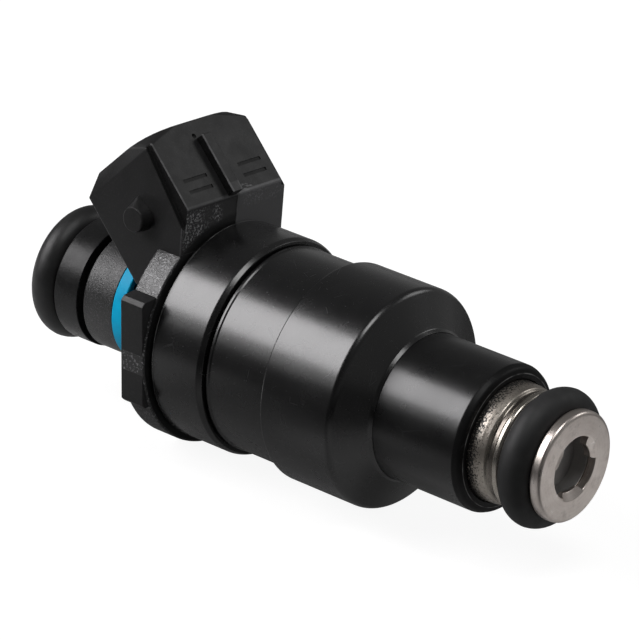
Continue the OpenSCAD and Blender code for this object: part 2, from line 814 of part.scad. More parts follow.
// Blue ring that marks the flow class
module colour_ring() {
    color([0.0, 0.62, 0.78])
        tube(colour_r, low_neck_r + ring_floor_gap, neck_at - colour_len - ring_floor_gap,
            neck_at - ring_floor_gap);
}

// Upper rubber ring
module rail_ring() {
    color([0.05, 0.05, 0.055])
        rubber_ring(ring_r, ring_wire_r, ring_at + groove_len / 2);
}

tip_plate_cap();
manifold_ring();
valve_body();
orifice_disc();
valve_seat();
needle_guide();
needle();
armature();
guide_sleeve();
return_spring();
adjusting_tube();
inlet_tube();
filter_frame();
filter_mesh();
lower_housing();
coil_housing();
upper_housing();
coil_bobbin();
coil_winding();
upper_coil_seal();
lower_coil_seal();
terminal_left();
terminal_right();
moulded_head();
colour_ring();
rail_ring();
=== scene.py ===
"""Looks of a port fuel injector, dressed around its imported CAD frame.

Meshes are drawn in millimetres and settled into metres. A station runs along the axis from the
spray face towards the fuel inlet, and the socket has a leaning frame of its own: u out of its
front face, y across it and h along its centre line.
"""

import logging
import math
from dataclasses import dataclass
from enum import Enum, IntEnum
from typing import Any, Sequence

import bmesh
import bpy
from mathutils import Matrix, Vector


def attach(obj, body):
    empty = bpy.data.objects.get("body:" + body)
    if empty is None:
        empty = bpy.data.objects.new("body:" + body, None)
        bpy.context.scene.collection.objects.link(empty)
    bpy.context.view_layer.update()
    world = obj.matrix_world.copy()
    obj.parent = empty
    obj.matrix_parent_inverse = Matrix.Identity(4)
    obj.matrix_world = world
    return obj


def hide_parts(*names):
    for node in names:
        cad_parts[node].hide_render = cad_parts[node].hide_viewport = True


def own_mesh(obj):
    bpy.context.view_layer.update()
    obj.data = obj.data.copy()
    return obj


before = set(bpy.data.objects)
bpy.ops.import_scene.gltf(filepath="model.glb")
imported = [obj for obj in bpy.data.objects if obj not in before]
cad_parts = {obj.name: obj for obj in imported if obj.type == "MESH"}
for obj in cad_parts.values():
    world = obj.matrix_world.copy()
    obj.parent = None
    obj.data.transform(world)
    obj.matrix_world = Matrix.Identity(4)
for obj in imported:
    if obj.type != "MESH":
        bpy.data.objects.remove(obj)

LOG = logging.getLogger("injector")
MM = 0.001
DATUM = 15.335
PIVOT_AT = 39.11
SLANT = math.sqrt(0.5)
SEGMENTS = 176
STRAY = 0.85
Colour = tuple[float, float, float]
Way = tuple[float, float, float]
Profile = list[tuple[Vector, Vector]]


class Body(Enum):
    """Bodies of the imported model."""

    INJECTOR = "injector"
    PLUNGER = "plunger"


class Cut(Enum):
    """Ways of combining two closed meshes."""

    JOIN = "UNION"
    REMOVE = "DIFFERENCE"


class Surface(IntEnum):
    """Material slots of the moulded head."""

    SMOOTH = 0
    GRAINED = 1
    SATIN = 2
    FLANK = 3
    SHADOW = 4
    # painted shade: a darker finish in the latch grooves and the sink mark
    GROOVE = 5


def spot(station: float, y: float, z: float) -> Vector:
    """Point in millimetres from a station and its offsets."""
    return Vector((DATUM - station, y, z))


def slanted(u: float, y: float, h: float) -> Vector:
    """Point in millimetres from the socket's leaning frame."""
    return Vector((DATUM - PIVOT_AT + (u - h) * SLANT, y, (u + h) * SLANT))


def slanted_way(u: float, y: float, h: float) -> Vector:
    """Direction in the part's frame from one in the socket's leaning frame."""
    return Vector(((u - h) * SLANT, y, (u + h) * SLANT))


class Graph:
    """Shorthand for building a node tree."""

    def __init__(self, tree: bpy.types.NodeTree) -> None:
        """Takes the tree that the nodes go into."""
        self.tree = tree

    def add(self, kind: str, inputs: dict[Any, Any] | None = None, **settings: Any) -> bpy.types.Node:
        """Adds a node.

        Args:
            kind: the node's type.
            inputs: socket name or index to a value or to another node's output.
            settings: plain properties of the node.

        Returns:
            The new node.
        """
        node = self.tree.nodes.new(kind)
        for key, value in settings.items():
            setattr(node, key, value)
        for key, value in (inputs or {}).items():
            if isinstance(value, bpy.types.NodeSocket):
                self.tree.links.new(value, node.inputs[key])
            else:
                node.inputs[key].default_value = value
        return node

    def calc(self, kind: str, first: Any, second: Any = 0.0) -> bpy.types.NodeSocket:
        """One step of arithmetic.

        Args:
            kind: the operation.
            first: a value or socket.
            second: a value or socket.

        Returns:
            The result's socket.
        """
        return self.add("ShaderNodeMath", {0: first, 1: second}, operation=kind).outputs[0]

    def times(self, first: Any, second: Any) -> bpy.types.NodeSocket:
        """Product of two values or sockets."""
        return self.calc("MULTIPLY", first, second)

    def plus(self, first: Any, second: Any) -> bpy.types.NodeSocket:
        """Sum of two values or sockets."""
        return self.calc("ADD", first, second)

    def most(self, first: Any, second: Any) -> bpy.types.NodeSocket:
        """Larger of two values or sockets."""
        return self.calc("MAXIMUM", first, second)

    def mix(self, share: Any, first: Any, second: Any) -> bpy.types.NodeSocket:
        """Mixes two shaders, with so much of the second."""
        return self.add("ShaderNodeMixShader", {0: share, 1: first, 2: second}).outputs[0]

    def span(
        self, value: Any, low: float, high: float, start: float = 0.0, end: float = 1.0
    ) -> bpy.types.NodeSocket:
        """Maps a value from low..high to start..end, held at both ends.

        Args:
            value: the socket to map.
            low: value that gives start.
            high: value that gives end.
            start: result at low.
            end: result at high.

        Returns:
            The mapped value.
        """
        sizes = {0: value, 1: low, 2: high, 3: start, 4: end}
        return self.add("ShaderNodeMapRange", sizes).outputs[0]


class Shading(Graph):
    """Node tree of one finish, with the patterns that the finishes share."""

    def __init__(self, name: str) -> None:
        """Starts an empty material of that name.

        Args:
            name: name of the material.
        """
        self.material = bpy.data.materials.new(name)
        self.material.use_nodes = True
        super().__init__(self.material.node_tree)
        self.tree.nodes.clear()
        place = self.add("ShaderNodeTexCoord").outputs["Object"]
        scale = self.add("ShaderNodeVectorMath", {0: place, "Scale": 1.0 / MM}, operation="SCALE")
        self.place = scale.outputs[0]
        parts = self.add("ShaderNodeSeparateXYZ", {0: self.place})
        self.x, self.y, self.z = parts.outputs

    def station(self) -> bpy.types.NodeSocket:
        """Station along the axis, in millimetres."""
        return self.calc("SUBTRACT", DATUM, self.x)

    def radius(self) -> bpy.types.NodeSocket:
        """Distance from the axis, in millimetres."""
        square = self.plus(self.times(self.y, self.y), self.times(self.z, self.z))
        return self.calc("SQRT", square)

    def noise(
        self, scale: float, detail: float = 2.0, rough: float = 0.5, vector: Any = None
    ) -> bpy.types.NodeSocket:
        """Soft random pattern.

        Args:
            scale: features in a millimetre.
            detail: number of finer layers.
            rough: strength of the finer layers.
            vector: place to read, or the piece's own.

        Returns:
            A value around one half.
        """
        sizes = {"Vector": vector or self.place, "Scale": scale, "Detail": detail, "Roughness": rough}
        return self.add("ShaderNodeTexNoise", sizes).outputs["Fac"]

    def band(self, value: Any, low: float, high: float, soft: float) -> bpy.types.NodeSocket:
        """Window that is one between low and high.

        Args:
            value: the socket to test.
            low: lower edge.
            high: upper edge.
            soft: width of each edge.

        Returns:
            A value from zero to one.
        """
        above = self.span(value, low - soft, low + soft)
        below = self.span(value, high + soft, high - soft)
        return self.times(above, below)

    def blend(self, share: Any, first: Any, second: Any) -> bpy.types.NodeSocket:
        """Mixes two colours.

        Args:
            share: how much of the second.
            first: colour or socket.
            second: colour or socket.

        Returns:
            The mixed colour.
        """
        node = self.add("ShaderNodeMix", {0: share}, data_type="RGBA")
        for index, value in ((6, first), (7, second)):
            if isinstance(value, bpy.types.NodeSocket):
                self.tree.links.new(value, node.inputs[index])
            else:
                node.inputs[index].default_value = (*value, 1.0)
        return node.outputs[2]

    def turning(self, scale: float) -> bpy.types.NodeSocket:
        """Fine rings left by a lathe, round the axis on every face.

        Args:
            scale: rings in a millimetre.

        Returns:
            A value around one half.
        """
        rings = self.add("ShaderNodeCombineXYZ", {0: self.x, 1: self.radius(), 2: 0.0}).outputs[0]
        return self.noise(scale, 3.0, 0.6, rings)

    def bump(self, height: Any, strength: float, depth: float) -> bpy.types.NodeSocket:
        """Turns a height pattern into a normal.

        Args:
            height: the pattern.
            strength: from zero to one.
            depth: height of the pattern in millimetres.

        Returns:
            The normal.
        """
        sizes = {"Height": height, "Strength": strength, "Distance": depth * MM}
        return self.add("ShaderNodeBump", sizes).outputs["Normal"]

    def surface(self, inputs: dict[str, Any]) -> bpy.types.Material:
        """Closes the tree with its shader.

        Args:
            inputs: values and sockets of the shader.

        Returns:
            The finished material.
        """
        shader = self.add("ShaderNodeBsdfPrincipled", inputs)
        self.add("ShaderNodeOutputMaterial", {0: shader.outputs[0]})
        return self.material


@dataclass(frozen=True)
class GlossPaint:
    """Black paint on the steel housings, with orange peel, faint scratches and dust.

    It can carry a painted highlight line at one radius, and another at one station.
    """

    name: str = "gloss_black_paint"
    dark: Colour = (0.0026, 0.0026, 0.0027)
    light: Colour = (0.0054, 0.0054, 0.0057)
    worn: Colour = (0.07, 0.07, 0.073)
    # colour of the painted highlight lines
    bare: Colour = (0.3, 0.3, 0.3)
    smooth: float = 0.23
    rough: float = 0.29
    coat: float = 0.9
    coat_rough: float = 0.24
    gloss: float = 0.5
    refraction: float = 1.5
    # radius and station of the painted highlight lines; zero leaves a line out
    rubbed_r: float = 0.0
    rubbed_at: float = 0.0

    def make(self) -> bpy.types.Material:
        """Builds the material.

        Returns:
            The material.
        """
        s = Shading(self.name)
        mottle = s.noise(0.4, 3.0)
        marks = self.marks(s)
        colour = s.blend(marks, s.blend(mottle, self.dark, self.light), self.worn)
        # painted highlight: a thin pale line round one radius, standing in for an edge's glint
        if self.rubbed_r:
            line = s.band(s.radius(), self.rubbed_r - 0.04, self.rubbed_r + 0.04, 0.03)
            uneven = s.span(s.noise(0.6, 2.0), 0.36, 0.6, 0.05, 0.9)
            colour = s.blend(s.times(line, uneven), colour, self.bare)
        # painted highlight: a thin pale line round one station, standing in for an edge's glint
        if self.rubbed_at:
            middle = DATUM - self.rubbed_at
            line = s.band(s.x, middle - 0.05, middle + 0.05, 0.04)
            uneven = s.span(s.noise(0.5, 2.0), 0.38, 0.62, 0.06, 0.6)
            colour = s.blend(s.times(line, uneven), colour, self.bare)
        rough = s.plus(s.span(mottle, 0.3, 0.7, self.smooth, self.rough), s.times(marks, 0.3))
        peel = s.plus(s.noise(1.3, 2.0), s.times(s.noise(8.0, 3.0, 0.6), 0.32))
        return s.surface(
            {
                "Base Color": colour,
                "Roughness": rough,
                "Normal": s.bump(peel, 0.16, 0.05),
                "IOR": self.refraction,
                "Specular IOR Level": self.gloss,
                "Coat Weight": self.coat,
                "Coat Roughness": self.coat_rough,
                "Coat IOR": self.refraction,
            }
        )

    def marks(self, s: Shading) -> bpy.types.NodeSocket:
        """Hairline scratches and specks of dust.

        Args:
            s: node tree of the finish.

        Returns:
            How much of it shows, from zero to one.
        """
        pattern = {"Vector": s.place, "Scale": 0.33}
        cells = s.add("ShaderNodeTexVoronoi", pattern, feature="DISTANCE_TO_EDGE").outputs["Distance"]
        scratch = s.times(s.span(cells, 0.012, 0.002), s.span(s.noise(0.45, 2.0), 0.56, 0.64))
        dust = s.span(s.noise(4.6, 1.0), 0.735, 0.78)
        return s.most(s.times(scratch, 0.28), s.times(dust, 0.35))


@dataclass(frozen=True)
class Moulding:
    """Black glass-filled plastic, from smooth to spark-grained; when worn, with scuffs, painted edge
    highlights and painted light and shade on the foot's front.
    """

    name: str
    rough: float
    grain: float
    fleck: float
    dark: Colour = (0.0085, 0.0085, 0.0088)
    light: Colour = (0.0135, 0.0135, 0.0138)
    fibre: Colour = (0.2, 0.2, 0.205)
    spark: Colour = (0.38, 0.38, 0.39)
    gloss: float = 0.5
    pitch: float = 4.6
    refraction: float = 1.48
    # worn adds spark grain and scuffs, and also painted edge highlights and painted light and shade on the
    # foot's front
    worn: bool = False

    def make(self) -> bpy.types.Material:
        """Builds the material.

        Returns:
            The material.
        """
        s = Shading(self.name)
        cloud = s.noise(0.7, 4.0, 0.6)
        fine = s.noise(self.pitch, 3.0, 0.7)
        flecks = s.times(s.span(s.noise(self.pitch, 2.0), 0.55, 0.68), self.fleck)
        height = fine
        base = s.blend(cloud, self.dark, self.light)
        if self.worn:
            right = s.span(s.y, 0.3, 0.5)
            # where the foot's front gets painted light: the whole right half, and on the left only away from
            # the shaded flange ring
            clear = s.most(right, s.span(s.radius(), 12.35, 12.85))
            front = s.times(s.span(s.x, -30.95, -30.85), clear)
            patch = s.times(front, self.patches(s))
            coarse = s.noise(4.2, 2.0, 0.7)
            sparks = s.times(patch, s.span(coarse, 0.51, 0.6))
            # scuffs are real scrapes; edges() adds painted highlights along lit edges
            flecks = s.most(flecks, s.most(self.scuffs(s), self.edges(s)))
            height = s.plus(fine, s.times(s.times(patch, coarse), 4.0))
            # painted light and shade: the foot's front lighter on its right half, as if lit from that side,
            # and left dark by the flange ring on the left, as if in shade
            dusty = s.times(front, s.span(right, 0.0, 1.0, 0.16, 0.58))
            base = s.blend(dusty, base, self.fibre)
        colour = s.blend(flecks, base, self.fibre)
        if self.worn:
            colour = s.blend(sparks, colour, self.spark)
        rough = s.span(cloud, 0.3, 0.7, self.rough - 0.04, self.rough + 0.06)
        values = {"Base Color": colour, "Roughness": rough, "Normal": s.bump(height, self.grain, 0.06)}
        return s.surface({**values, "IOR": self.refraction, "Specular IOR Level": self.gloss})

    def patches(self, s: Shading) -> bpy.types.NodeSocket:
        """Ragged rough patches on the foot's front, strong on the left and weak at the upper right.

        Args:
            s: node tree of the finish.

        Returns:
            How much of it shows, from zero to one.
        """
        left = s.times(s.band(s.y, -7.5, -2.0, 0.4), s.band(s.z, 9.6, 14.3, 0.3))
        right = s.times(s.band(s.y, 1.6, 7.2, 0.8), s.times(s.band(s.z, 13.1, 14.5, 0.3), 0.42))
        ragged = s.span(s.noise(0.5, 3.0), 0.36, 0.5, 0.1, 1.0)
        return s.times(ragged, s.plus(left, right))

    def edges(self, s: Shading) -> bpy.types.NodeSocket:
        """Painted highlights along the socket's front corner, its rib, its rear edge and the foot's step.

        Args:
            s: node tree of the finish.

        Returns:
            How much of it shows, from zero to one.
        """
        out = s.times(s.plus(s.plus(s.x, PIVOT_AT - DATUM), s.z), SLANT)
        corner = s.times(s.band(s.y, -7.3, -7.04, 0.05), s.band(out, 5.3, 5.7, 0.05))
        ridge = s.times(s.band(s.y, -0.96, -0.7, 0.05), s.band(out, 6.2, 6.6, 0.05))
        rear = s.times(s.band(s.y, -7.92, -7.7, 0.04), s.band(out, -5.6, -5.34, 0.05))
        corner = s.most(corner, s.times(rear, 0.6))
        uneven = s.span(s.noise(0.8, 2.0), 0.35, 0.6, 0.3, 0.62)
        step = s.times(s.band(s.y, 0.36, 0.5, 0.04), s.band(s.z, 11.5, 14.7, 0.2))
        step = s.times(step, s.span(s.x, -30.85, -30.7))
        return s.times(uneven, s.most(step, s.most(corner, ridge)))

    def scuffs(self, s: Shading) -> bpy.types.NodeSocket:
        """Short bright scrapes above the foot's right half.

        Args:
            s: node tree of the finish.

        Returns:
            How much of it shows, from zero to one.
        """
        place = s.times(s.band(s.y, 1.5, 2.9, 0.25), s.band(s.z, 14.75, 15.35, 0.1))
        stretch = {0: s.place, 1: (3.0, 1.2, 5.0)}
        lines = s.add("ShaderNodeVectorMath", stretch, operation="MULTIPLY").outputs[0]
        return s.times(place, s.span(s.noise(1.0, 2.0, 0.5, lines), 0.5, 0.6, 0.0, 0.8))


@dataclass(frozen=True)
class Rubber:
    """Satin black rubber of the sealing rings."""

    name: str = "satin_rubber"
    dark: Colour = (0.0115, 0.0115, 0.0118)
    light: Colour = (0.0185, 0.0185, 0.0188)
    bloom: Colour = (0.045, 0.045, 0.046)
    rough: float = 0.6
    refraction: float = 1.52

    def make(self) -> bpy.types.Material:
        """Builds the material.

        Returns:
            The material.
        """
        s = Shading(self.name)
        cloud = s.noise(0.9, 3.0)
        bloom = s.times(s.span(s.noise(0.35, 3.0), 0.5, 0.75), 0.35)
        colour = s.blend(bloom, s.blend(cloud, self.dark, self.light), self.bloom)
        rough = s.span(cloud, 0.3, 0.7, self.rough - 0.05, self.rough + 0.05)
        satin = s.bump(s.noise(6.0, 3.0), 0.1, 0.03)
        values = {"Base Color": colour, "Roughness": rough, "Normal": satin}
        return s.surface({**values, "IOR": self.refraction})


@dataclass(frozen=True)
class TurnedSteel:
    """Bare steel with lathe rings, with paint overspray where it meets the pilot, and painted shade in the
    crease behind its flange.
    """

    name: str
    bright: Colour = (0.66, 0.61, 0.57)
    dull: Colour = (0.52, 0.47, 0.43)
    smooth: float = 0.26
    rough: float = 0.38
    rings: float = 0.12
    overspray: bool = False
    spray: Colour = (0.02, 0.019, 0.018)
    stain: Colour = (0.28, 0.235, 0.2)
    # dark colour of the painted shade in the crease behind the flange
    soot: Colour = (0.1, 0.085, 0.075)
    tarnish: float = 0.0

    def make(self) -> bpy.types.Material:
        """Builds the material.

        Returns:
            The material.
        """
        s = Shading(self.name)
        turned = s.turning(9.0)
        cloud = s.noise(0.8, 4.0, 0.6)
        share = s.plus(s.times(turned, 0.5), s.times(cloud, 0.5))
        colour = s.blend(s.span(share, 0.35, 0.65), self.dull, self.bright)
        tarnish = s.times(s.span(s.noise(0.75, 3.0, 0.7), 0.54, 0.72), self.tarnish)
        colour = s.blend(tarnish, colour, self.stain)
        rough = s.span(share, 0.35, 0.65, self.rough, self.smooth)
        metal: Any = 1.0
        if self.overspray:
            grit = s.noise(3.0, 3.0, 0.7)
            on_bead = s.span(s.station(), 6.55, 6.8)
            stained = s.times(on_bead, s.span(grit, 0.66, 0.34, 0.05, 0.55))
            colour = s.blend(stained, colour, self.stain)
            # painted shade: the crease between flange and bead darkened, unevenly
            crease = s.times(s.band(s.station(), 5.9, 6.5, 0.14), s.span(cloud, 0.3, 0.6, 0.55, 0.9))
            colour = s.blend(crease, colour, self.soot)
            near = s.span(s.station(), 7.0, 8.5, 0.0, 0.25)
            specks = s.span(s.plus(s.noise(5.2, 2.0, 0.6), near), 0.61, 0.68)
            paint = s.times(specks, on_bead)
            colour = s.blend(paint, colour, self.spray)
            rough = s.plus(rough, s.times(on_bead, 0.12))
            metal = s.calc("SUBTRACT", 1.0, paint)
            turned = s.plus(turned, s.times(s.times(grit, on_bead), 2.0))
        values = {"Base Color": colour, "Roughness": rough, "Metallic": metal}
        return s.surface({**values, "Normal": s.bump(turned, self.rings, 0.02)})


@dataclass(frozen=True)
class ClearPlastic:
    """Coloured plastic with a little depth and a moulded satin."""

    name: str
    deep: Colour
    pale: Colour
    rough: float = 0.34
    grain: float = 0.06
    gloss: float = 0.2
    refraction: float = 1.49

    def make(self) -> bpy.types.Material:
        """Builds the material.

        Returns:
            The material.
        """
        s = Shading(self.name)
        cloud = s.noise(0.8, 3.0)
        colour = s.blend(s.span(cloud, 0.3, 0.7), self.deep, self.pale)
        rough = s.span(cloud, 0.3, 0.7, self.rough - 0.05, self.rough + 0.05)
        satin = s.bump(s.noise(6.0), self.grain, 0.03)
        values = {"Base Color": colour, "Roughness": rough, "Normal": satin}
        return s.surface({**values, "IOR": self.refraction, "Specular IOR Level": self.gloss})


@dataclass(frozen=True)
class EnamelWire:
    """Copper wire under a thin coat of enamel."""

    name: str = "enamelled_copper"
    deep: Colour = (0.42, 0.15, 0.06)
    pale: Colour = (0.66, 0.3, 0.14)
    coat: float = 0.6
    coat_rough: float = 0.1

    def make(self) -> bpy.types.Material:
        """Builds the material.

        Returns:
            The material.
        """
        s = Shading(self.name)
        cloud = s.noise(1.4, 3.0)
        colour = s.blend(cloud, self.deep, self.pale)
        values = {"Base Color": colour, "Roughness": s.span(cloud, 0.3, 0.7, 0.2, 0.34), "Metallic": 1.0}
        return s.surface({**values, "Coat Weight": self.coat, "Coat Roughness": self.coat_rough})


def grey(level: float, blue: float = 0.0) -> Colour:
    """Grey with a little more blue in it."""
    return (level, level, level + blue)


class Palette:
    """Every finish of the injector, made once."""

    def __init__(self) -> None:
        """Makes the materials."""
        self.make_paints()
        self.make_mouldings()
        self.make_steels()
        self.make_plastics()

    def make_paints(self) -> None:
        """Paint of the three shells: the pilot's is duller, and its nose has a painted highlight line; the
        upper shell has one near its rear edge.
        """
        # painted highlight line near the upper shell's rear edge
        self.paint = GlossPaint(rubbed_at=45.52).make()
        self.pilot_paint = GlossPaint("pilot_black_paint", smooth=0.26, rough=0.32, coat=0.45).make()
        # painted highlight line round the nose's inner edge
        self.nose_paint = GlossPaint(
            "nose_black_paint", smooth=0.4, rough=0.48, coat=0.0, gloss=0.22, rubbed_r=6.98
        ).make()

    def make_mouldings(self) -> None:
        """Six surfaces of the moulded head."""
        self.socket = Moulding("moulding_smooth", 0.44, 0.12, 0.04, worn=True).make()
        self.grained = Moulding("moulding_grained", 0.37, 0.8, 0.32, gloss=0.8, pitch=6.0).make()
        self.flank = Moulding(
            "moulding_flank", 0.32, 1.0, 0.72, fibre=grey(0.3, 0.01), gloss=0.9, pitch=4.2
        ).make()
        self.shadow = Moulding(
            "moulding_shadow", 0.6, 0.3, 0.03, grey(0.003), grey(0.006), gloss=0.2
        ).make()
        # painted shade: a darker finish for the latch grooves and the sink mark
        self.groove = Moulding(
            "moulding_groove", 0.5, 0.2, 0.03, grey(0.006), grey(0.009), gloss=0.36
        ).make()
        self.collar = Moulding(
            "moulding_satin", 0.3, 0.2, 0.05, grey(0.011, 0.0002), grey(0.016, 0.0002), gloss=0.26
        ).make()

    def make_steels(self) -> None:
        """Bare metals, outside and inside."""
        self.tip = TurnedSteel(
            "satin_stainless", (0.86, 0.79, 0.74), (0.71, 0.63, 0.58), tarnish=0.32
        ).make()
        self.sooty = TurnedSteel(
            "sooty_steel", (0.5, 0.488, 0.478), (0.45, 0.44, 0.432), 0.56, 0.62, 0.0
        ).make()
        self.inlet = TurnedSteel(
            "turned_inlet", (0.6, 0.57, 0.53), (0.45, 0.42, 0.38), 0.24, 0.36, 0.15
        ).make()
        self.neck = TurnedSteel(
            "turned_neck", (0.62, 0.58, 0.52), (0.46, 0.42, 0.37), 0.2, 0.32, 0.2, True
        ).make()
        self.steel = TurnedSteel("ground_steel", (0.66, 0.65, 0.64), (0.5, 0.49, 0.48), 0.2, 0.3).make()
        self.spring = TurnedSteel("spring_wire", grey(0.62, 0.02), grey(0.42, 0.02), 0.22, 0.34, 0.04).make()
        self.tinned = TurnedSteel(
            "tinned_blade", (0.74, 0.72, 0.66), (0.58, 0.56, 0.5), 0.24, 0.36, 0.05
        ).make()
        self.copper = EnamelWire().make()

    def make_plastics(self) -> None:
        """Rubber rings and coloured plastics."""
        self.rubber = Rubber().make()
        self.rail_rubber = Rubber("rail_rubber", grey(0.009, 0.0002), grey(0.014, 0.0002), rough=0.45).make()
        self.blue = ClearPlastic("blue_plastic", (0.0, 0.5, 0.89), (0.0, 0.58, 0.97), 0.45).make()
        self.bobbin = ClearPlastic(
            "bobbin_plastic", (0.05, 0.045, 0.04), (0.08, 0.072, 0.065), 0.45, 0.2
        ).make()
        self.filter = ClearPlastic("natural_nylon", (0.62, 0.58, 0.48), (0.74, 0.7, 0.6), 0.42, 0.1).make()


def new_object(name: str, mesh: bpy.types.Mesh) -> bpy.types.Object:
    """Links an object that carries a mesh.

    Args:
        name: name of the object.
        mesh: the mesh.

    Returns:
        The object.
    """
    piece = bpy.data.objects.new(name, mesh)
    bpy.context.scene.collection.objects.link(piece)
    return piece


def from_bmesh(name: str, shape: bmesh.types.BMesh) -> bpy.types.Object:
    """Closes a bmesh into an object.

    Args:
        name: name of the object.
        shape: the bmesh, which is freed.

    Returns:
        The object, with its faces pointing outwards.
    """
    bmesh.ops.recalc_face_normals(shape, faces=shape.faces[:])
    mesh = bpy.data.meshes.new(name)
    shape.to_mesh(mesh)
    shape.free()
    return new_object(name, mesh)


def face_outwards(mesh: bpy.types.Mesh) -> None:
    """Points every face of a closed mesh outwards.

    Args:
        mesh: the mesh.
    """
    shape = bmesh.new()
    shape.from_mesh(mesh)
    bmesh.ops.recalc_face_normals(shape, faces=shape.faces[:])
    shape.to_mesh(mesh)
    shape.free()


def add_finishes(piece: bpy.types.Object, finishes: Sequence[bpy.types.Material]) -> None:
    """Gives a piece its material slots, in order."""
    for finish in finishes:
        piece.data.materials.append(finish)


def set_slot(piece: bpy.types.Object, slot: int) -> None:
    """Puts all of a piece's faces on one material slot."""
    piece.data.polygons.foreach_set("material_index", [slot] * len(piece.data.polygons))


def bake_modifiers(piece: bpy.types.Object) -> None:
    """Replaces a piece's mesh by what its modifiers make of it.

    Args:
        piece: the piece.
    """
    bpy.context.view_layer.update()
    seen = piece.evaluated_get(bpy.context.evaluated_depsgraph_get())
    old, piece.data = piece.data, bpy.data.meshes.new_from_object(seen)
    piece.modifiers.clear()
    bpy.data.meshes.remove(old)


def combine(piece: bpy.types.Object, tool: bpy.types.Object, cut: Cut) -> None:
    """Joins a closed tool to a piece, or removes it, and deletes the tool.

    Args:
        piece: the mesh that stays.
        tool: the mesh that is used up.
        cut: join or remove.
    """
    step = piece.modifiers.new("combine", "BOOLEAN")
    step.operation, step.solver, step.object = cut.value, "MANIFOLD", tool
    bake_modifiers(piece)
    bpy.data.objects.remove(tool)


def soften(piece: bpy.types.Object, width: float, steps: int = 3, angle: float = 28.0) -> None:
    """Rounds a piece's sharp edges.

    Args:
        piece: the mesh.
        width: width of the rounding in millimetres.
        steps: faces across it.
        angle: edges flatter than this stay, in degrees.
    """
    edge = piece.modifiers.new("soften", "BEVEL")
    edge.limit_method, edge.angle_limit = "ANGLE", math.radians(angle)
    edge.width, edge.segments, edge.use_clamp_overlap = width, steps, False
    edge.miter_outer = "MITER_ARC"
    bake_modifiers(piece)


def shade(piece: bpy.types.Object, angle: float = 30.0) -> None:
    """Smooth shading that leaves the large faces flat.

    Args:
        piece: the mesh.
        angle: edges sharper than this stay sharp, in degrees.
    """
    mesh = piece.data
    mesh.polygons.foreach_set("use_smooth", [True] * len(mesh.polygons))
    mesh.set_sharp_from_angle(angle=math.radians(angle))
    weigh = piece.modifiers.new("weigh", "WEIGHTED_NORMAL")
    weigh.keep_sharp, weigh.weight, weigh.mode = True, 100, "FACE_AREA"
    bake_modifiers(piece)
    mesh = piece.data
    ways = [corner.vector.copy() for corner in mesh.corner_normals]
    for face in mesh.polygons:
        for index in face.loop_indices:
            if ways[index].dot(face.normal) < STRAY:
                ways[index] = face.normal.copy()
    mesh.normals_split_custom_set(ways)


def settle(piece: bpy.types.Object) -> bpy.types.Object:
    """Turns a piece drawn in millimetres into metres.

    Args:
        piece: the piece, in millimetres.

    Returns:
        The same piece, in metres.
    """
    piece.data.transform(Matrix.Scale(MM, 4))
    piece.data.update()
    return piece


@dataclass(frozen=True)
class Corner:
    """Corner of a turned profile: radius, station and the rounding of its edge."""

    radius: float
    station: float
    edge: float = 0.05


def rounded(corners: Sequence[Corner], steps: int = 5) -> Profile:
    """Rounds a closed profile.

    Args:
        corners: the profile in order.
        steps: faces across each rounding.

    Returns:
        Points of station and radius, each with its outward normal.
    """
    points = [Vector((c.station, c.radius)) for c in corners]
    count = len(points)
    turn = sum(points[i - 1].x * points[i].y - points[i].x * points[i - 1].y for i in range(count))
    made: Profile = []
    for i, corner in enumerate(corners):
        here, back, ahead = points[i], points[i - 1] - points[i], points[(i + 1) % count] - points[i]
        half = back.angle(ahead) / 2
        reach = min(corner.edge / math.tan(half), back.length * 0.48, ahead.length * 0.48)
        bend = reach * math.tan(half)
        back, ahead = back.normalized(), ahead.normalized()
        centre = here + (back + ahead).normalized() * (bend / math.sin(half))
        start, end = here + back * reach - centre, here + ahead * reach - centre
        outward = Vector((-back.y, back.x)) * (1 if turn > 0 else -1)
        side = 1 if start.dot(outward) > 0 else -1
        sweep = start.angle(end)
        for k in range(steps + 1):
            t = k / steps
            way = (start * math.sin((1 - t) * sweep) + end * math.sin(t * sweep)) / math.sin(sweep)
            made.append((centre + way, way.normalized() * side))
    return made


def ring_faces(columns: int, count: int) -> list[tuple[int, int, int, int]]:
    """Faces of a closed profile that is repeated round the axis.

    Args:
        columns: copies of the profile.
        count: points of the profile.

    Returns:
        The corners of each face.
    """
    faces = []
    for i in range(columns):
        n = (i + 1) % columns
        for j in range(count):
            k = (j + 1) % count
            faces.append((i * count + j, i * count + k, n * count + k, n * count + j))
    return faces


def lathe(name: str, profile: Profile, segments: int = SEGMENTS) -> bpy.types.Object:
    """Turns a closed profile about the axis, with exact normals.

    Args:
        name: name of the object.
        profile: points of station and radius with their normals.
        segments: faces round the axis.

    Returns:
        The object, in millimetres.
    """
    spots, ways = [], []
    for i in range(segments):
        sine, cosine = math.sin(math.tau * i / segments), math.cos(math.tau * i / segments)
        for point, way in profile:
            spots.append((DATUM - point.x, -point.y * sine, point.y * cosine))
            ways.append((-way.x, -way.y * sine, way.y * cosine))
    faces = ring_faces(segments, len(profile))
    a, b, c = (Vector(spots[v]) for v in faces[0][:3])
    if (b - a).cross(c - a).dot(Vector(ways[faces[0][0]])) < 0:
        faces = [face[::-1] for face in faces]
    mesh = bpy.data.meshes.new(name)
    mesh.from_pydata(spots, [], faces)
    mesh.polygons.foreach_set("use_smooth", [True] * len(faces))
    mesh.normals_split_custom_set_from_vertices(ways)
    return new_object(name, mesh)


def turned(
    name: str, corners: Sequence[Corner], steps: int = 5, segments: int = SEGMENTS
) -> bpy.types.Object:
    """Turned piece from its corners.

    Args:
        name: name of the object.
        corners: the closed profile.
        steps: faces across each rounding.
        segments: faces round the axis.

    Returns:
        The object, in millimetres.
    """
    return lathe(name, rounded(corners, steps), segments)


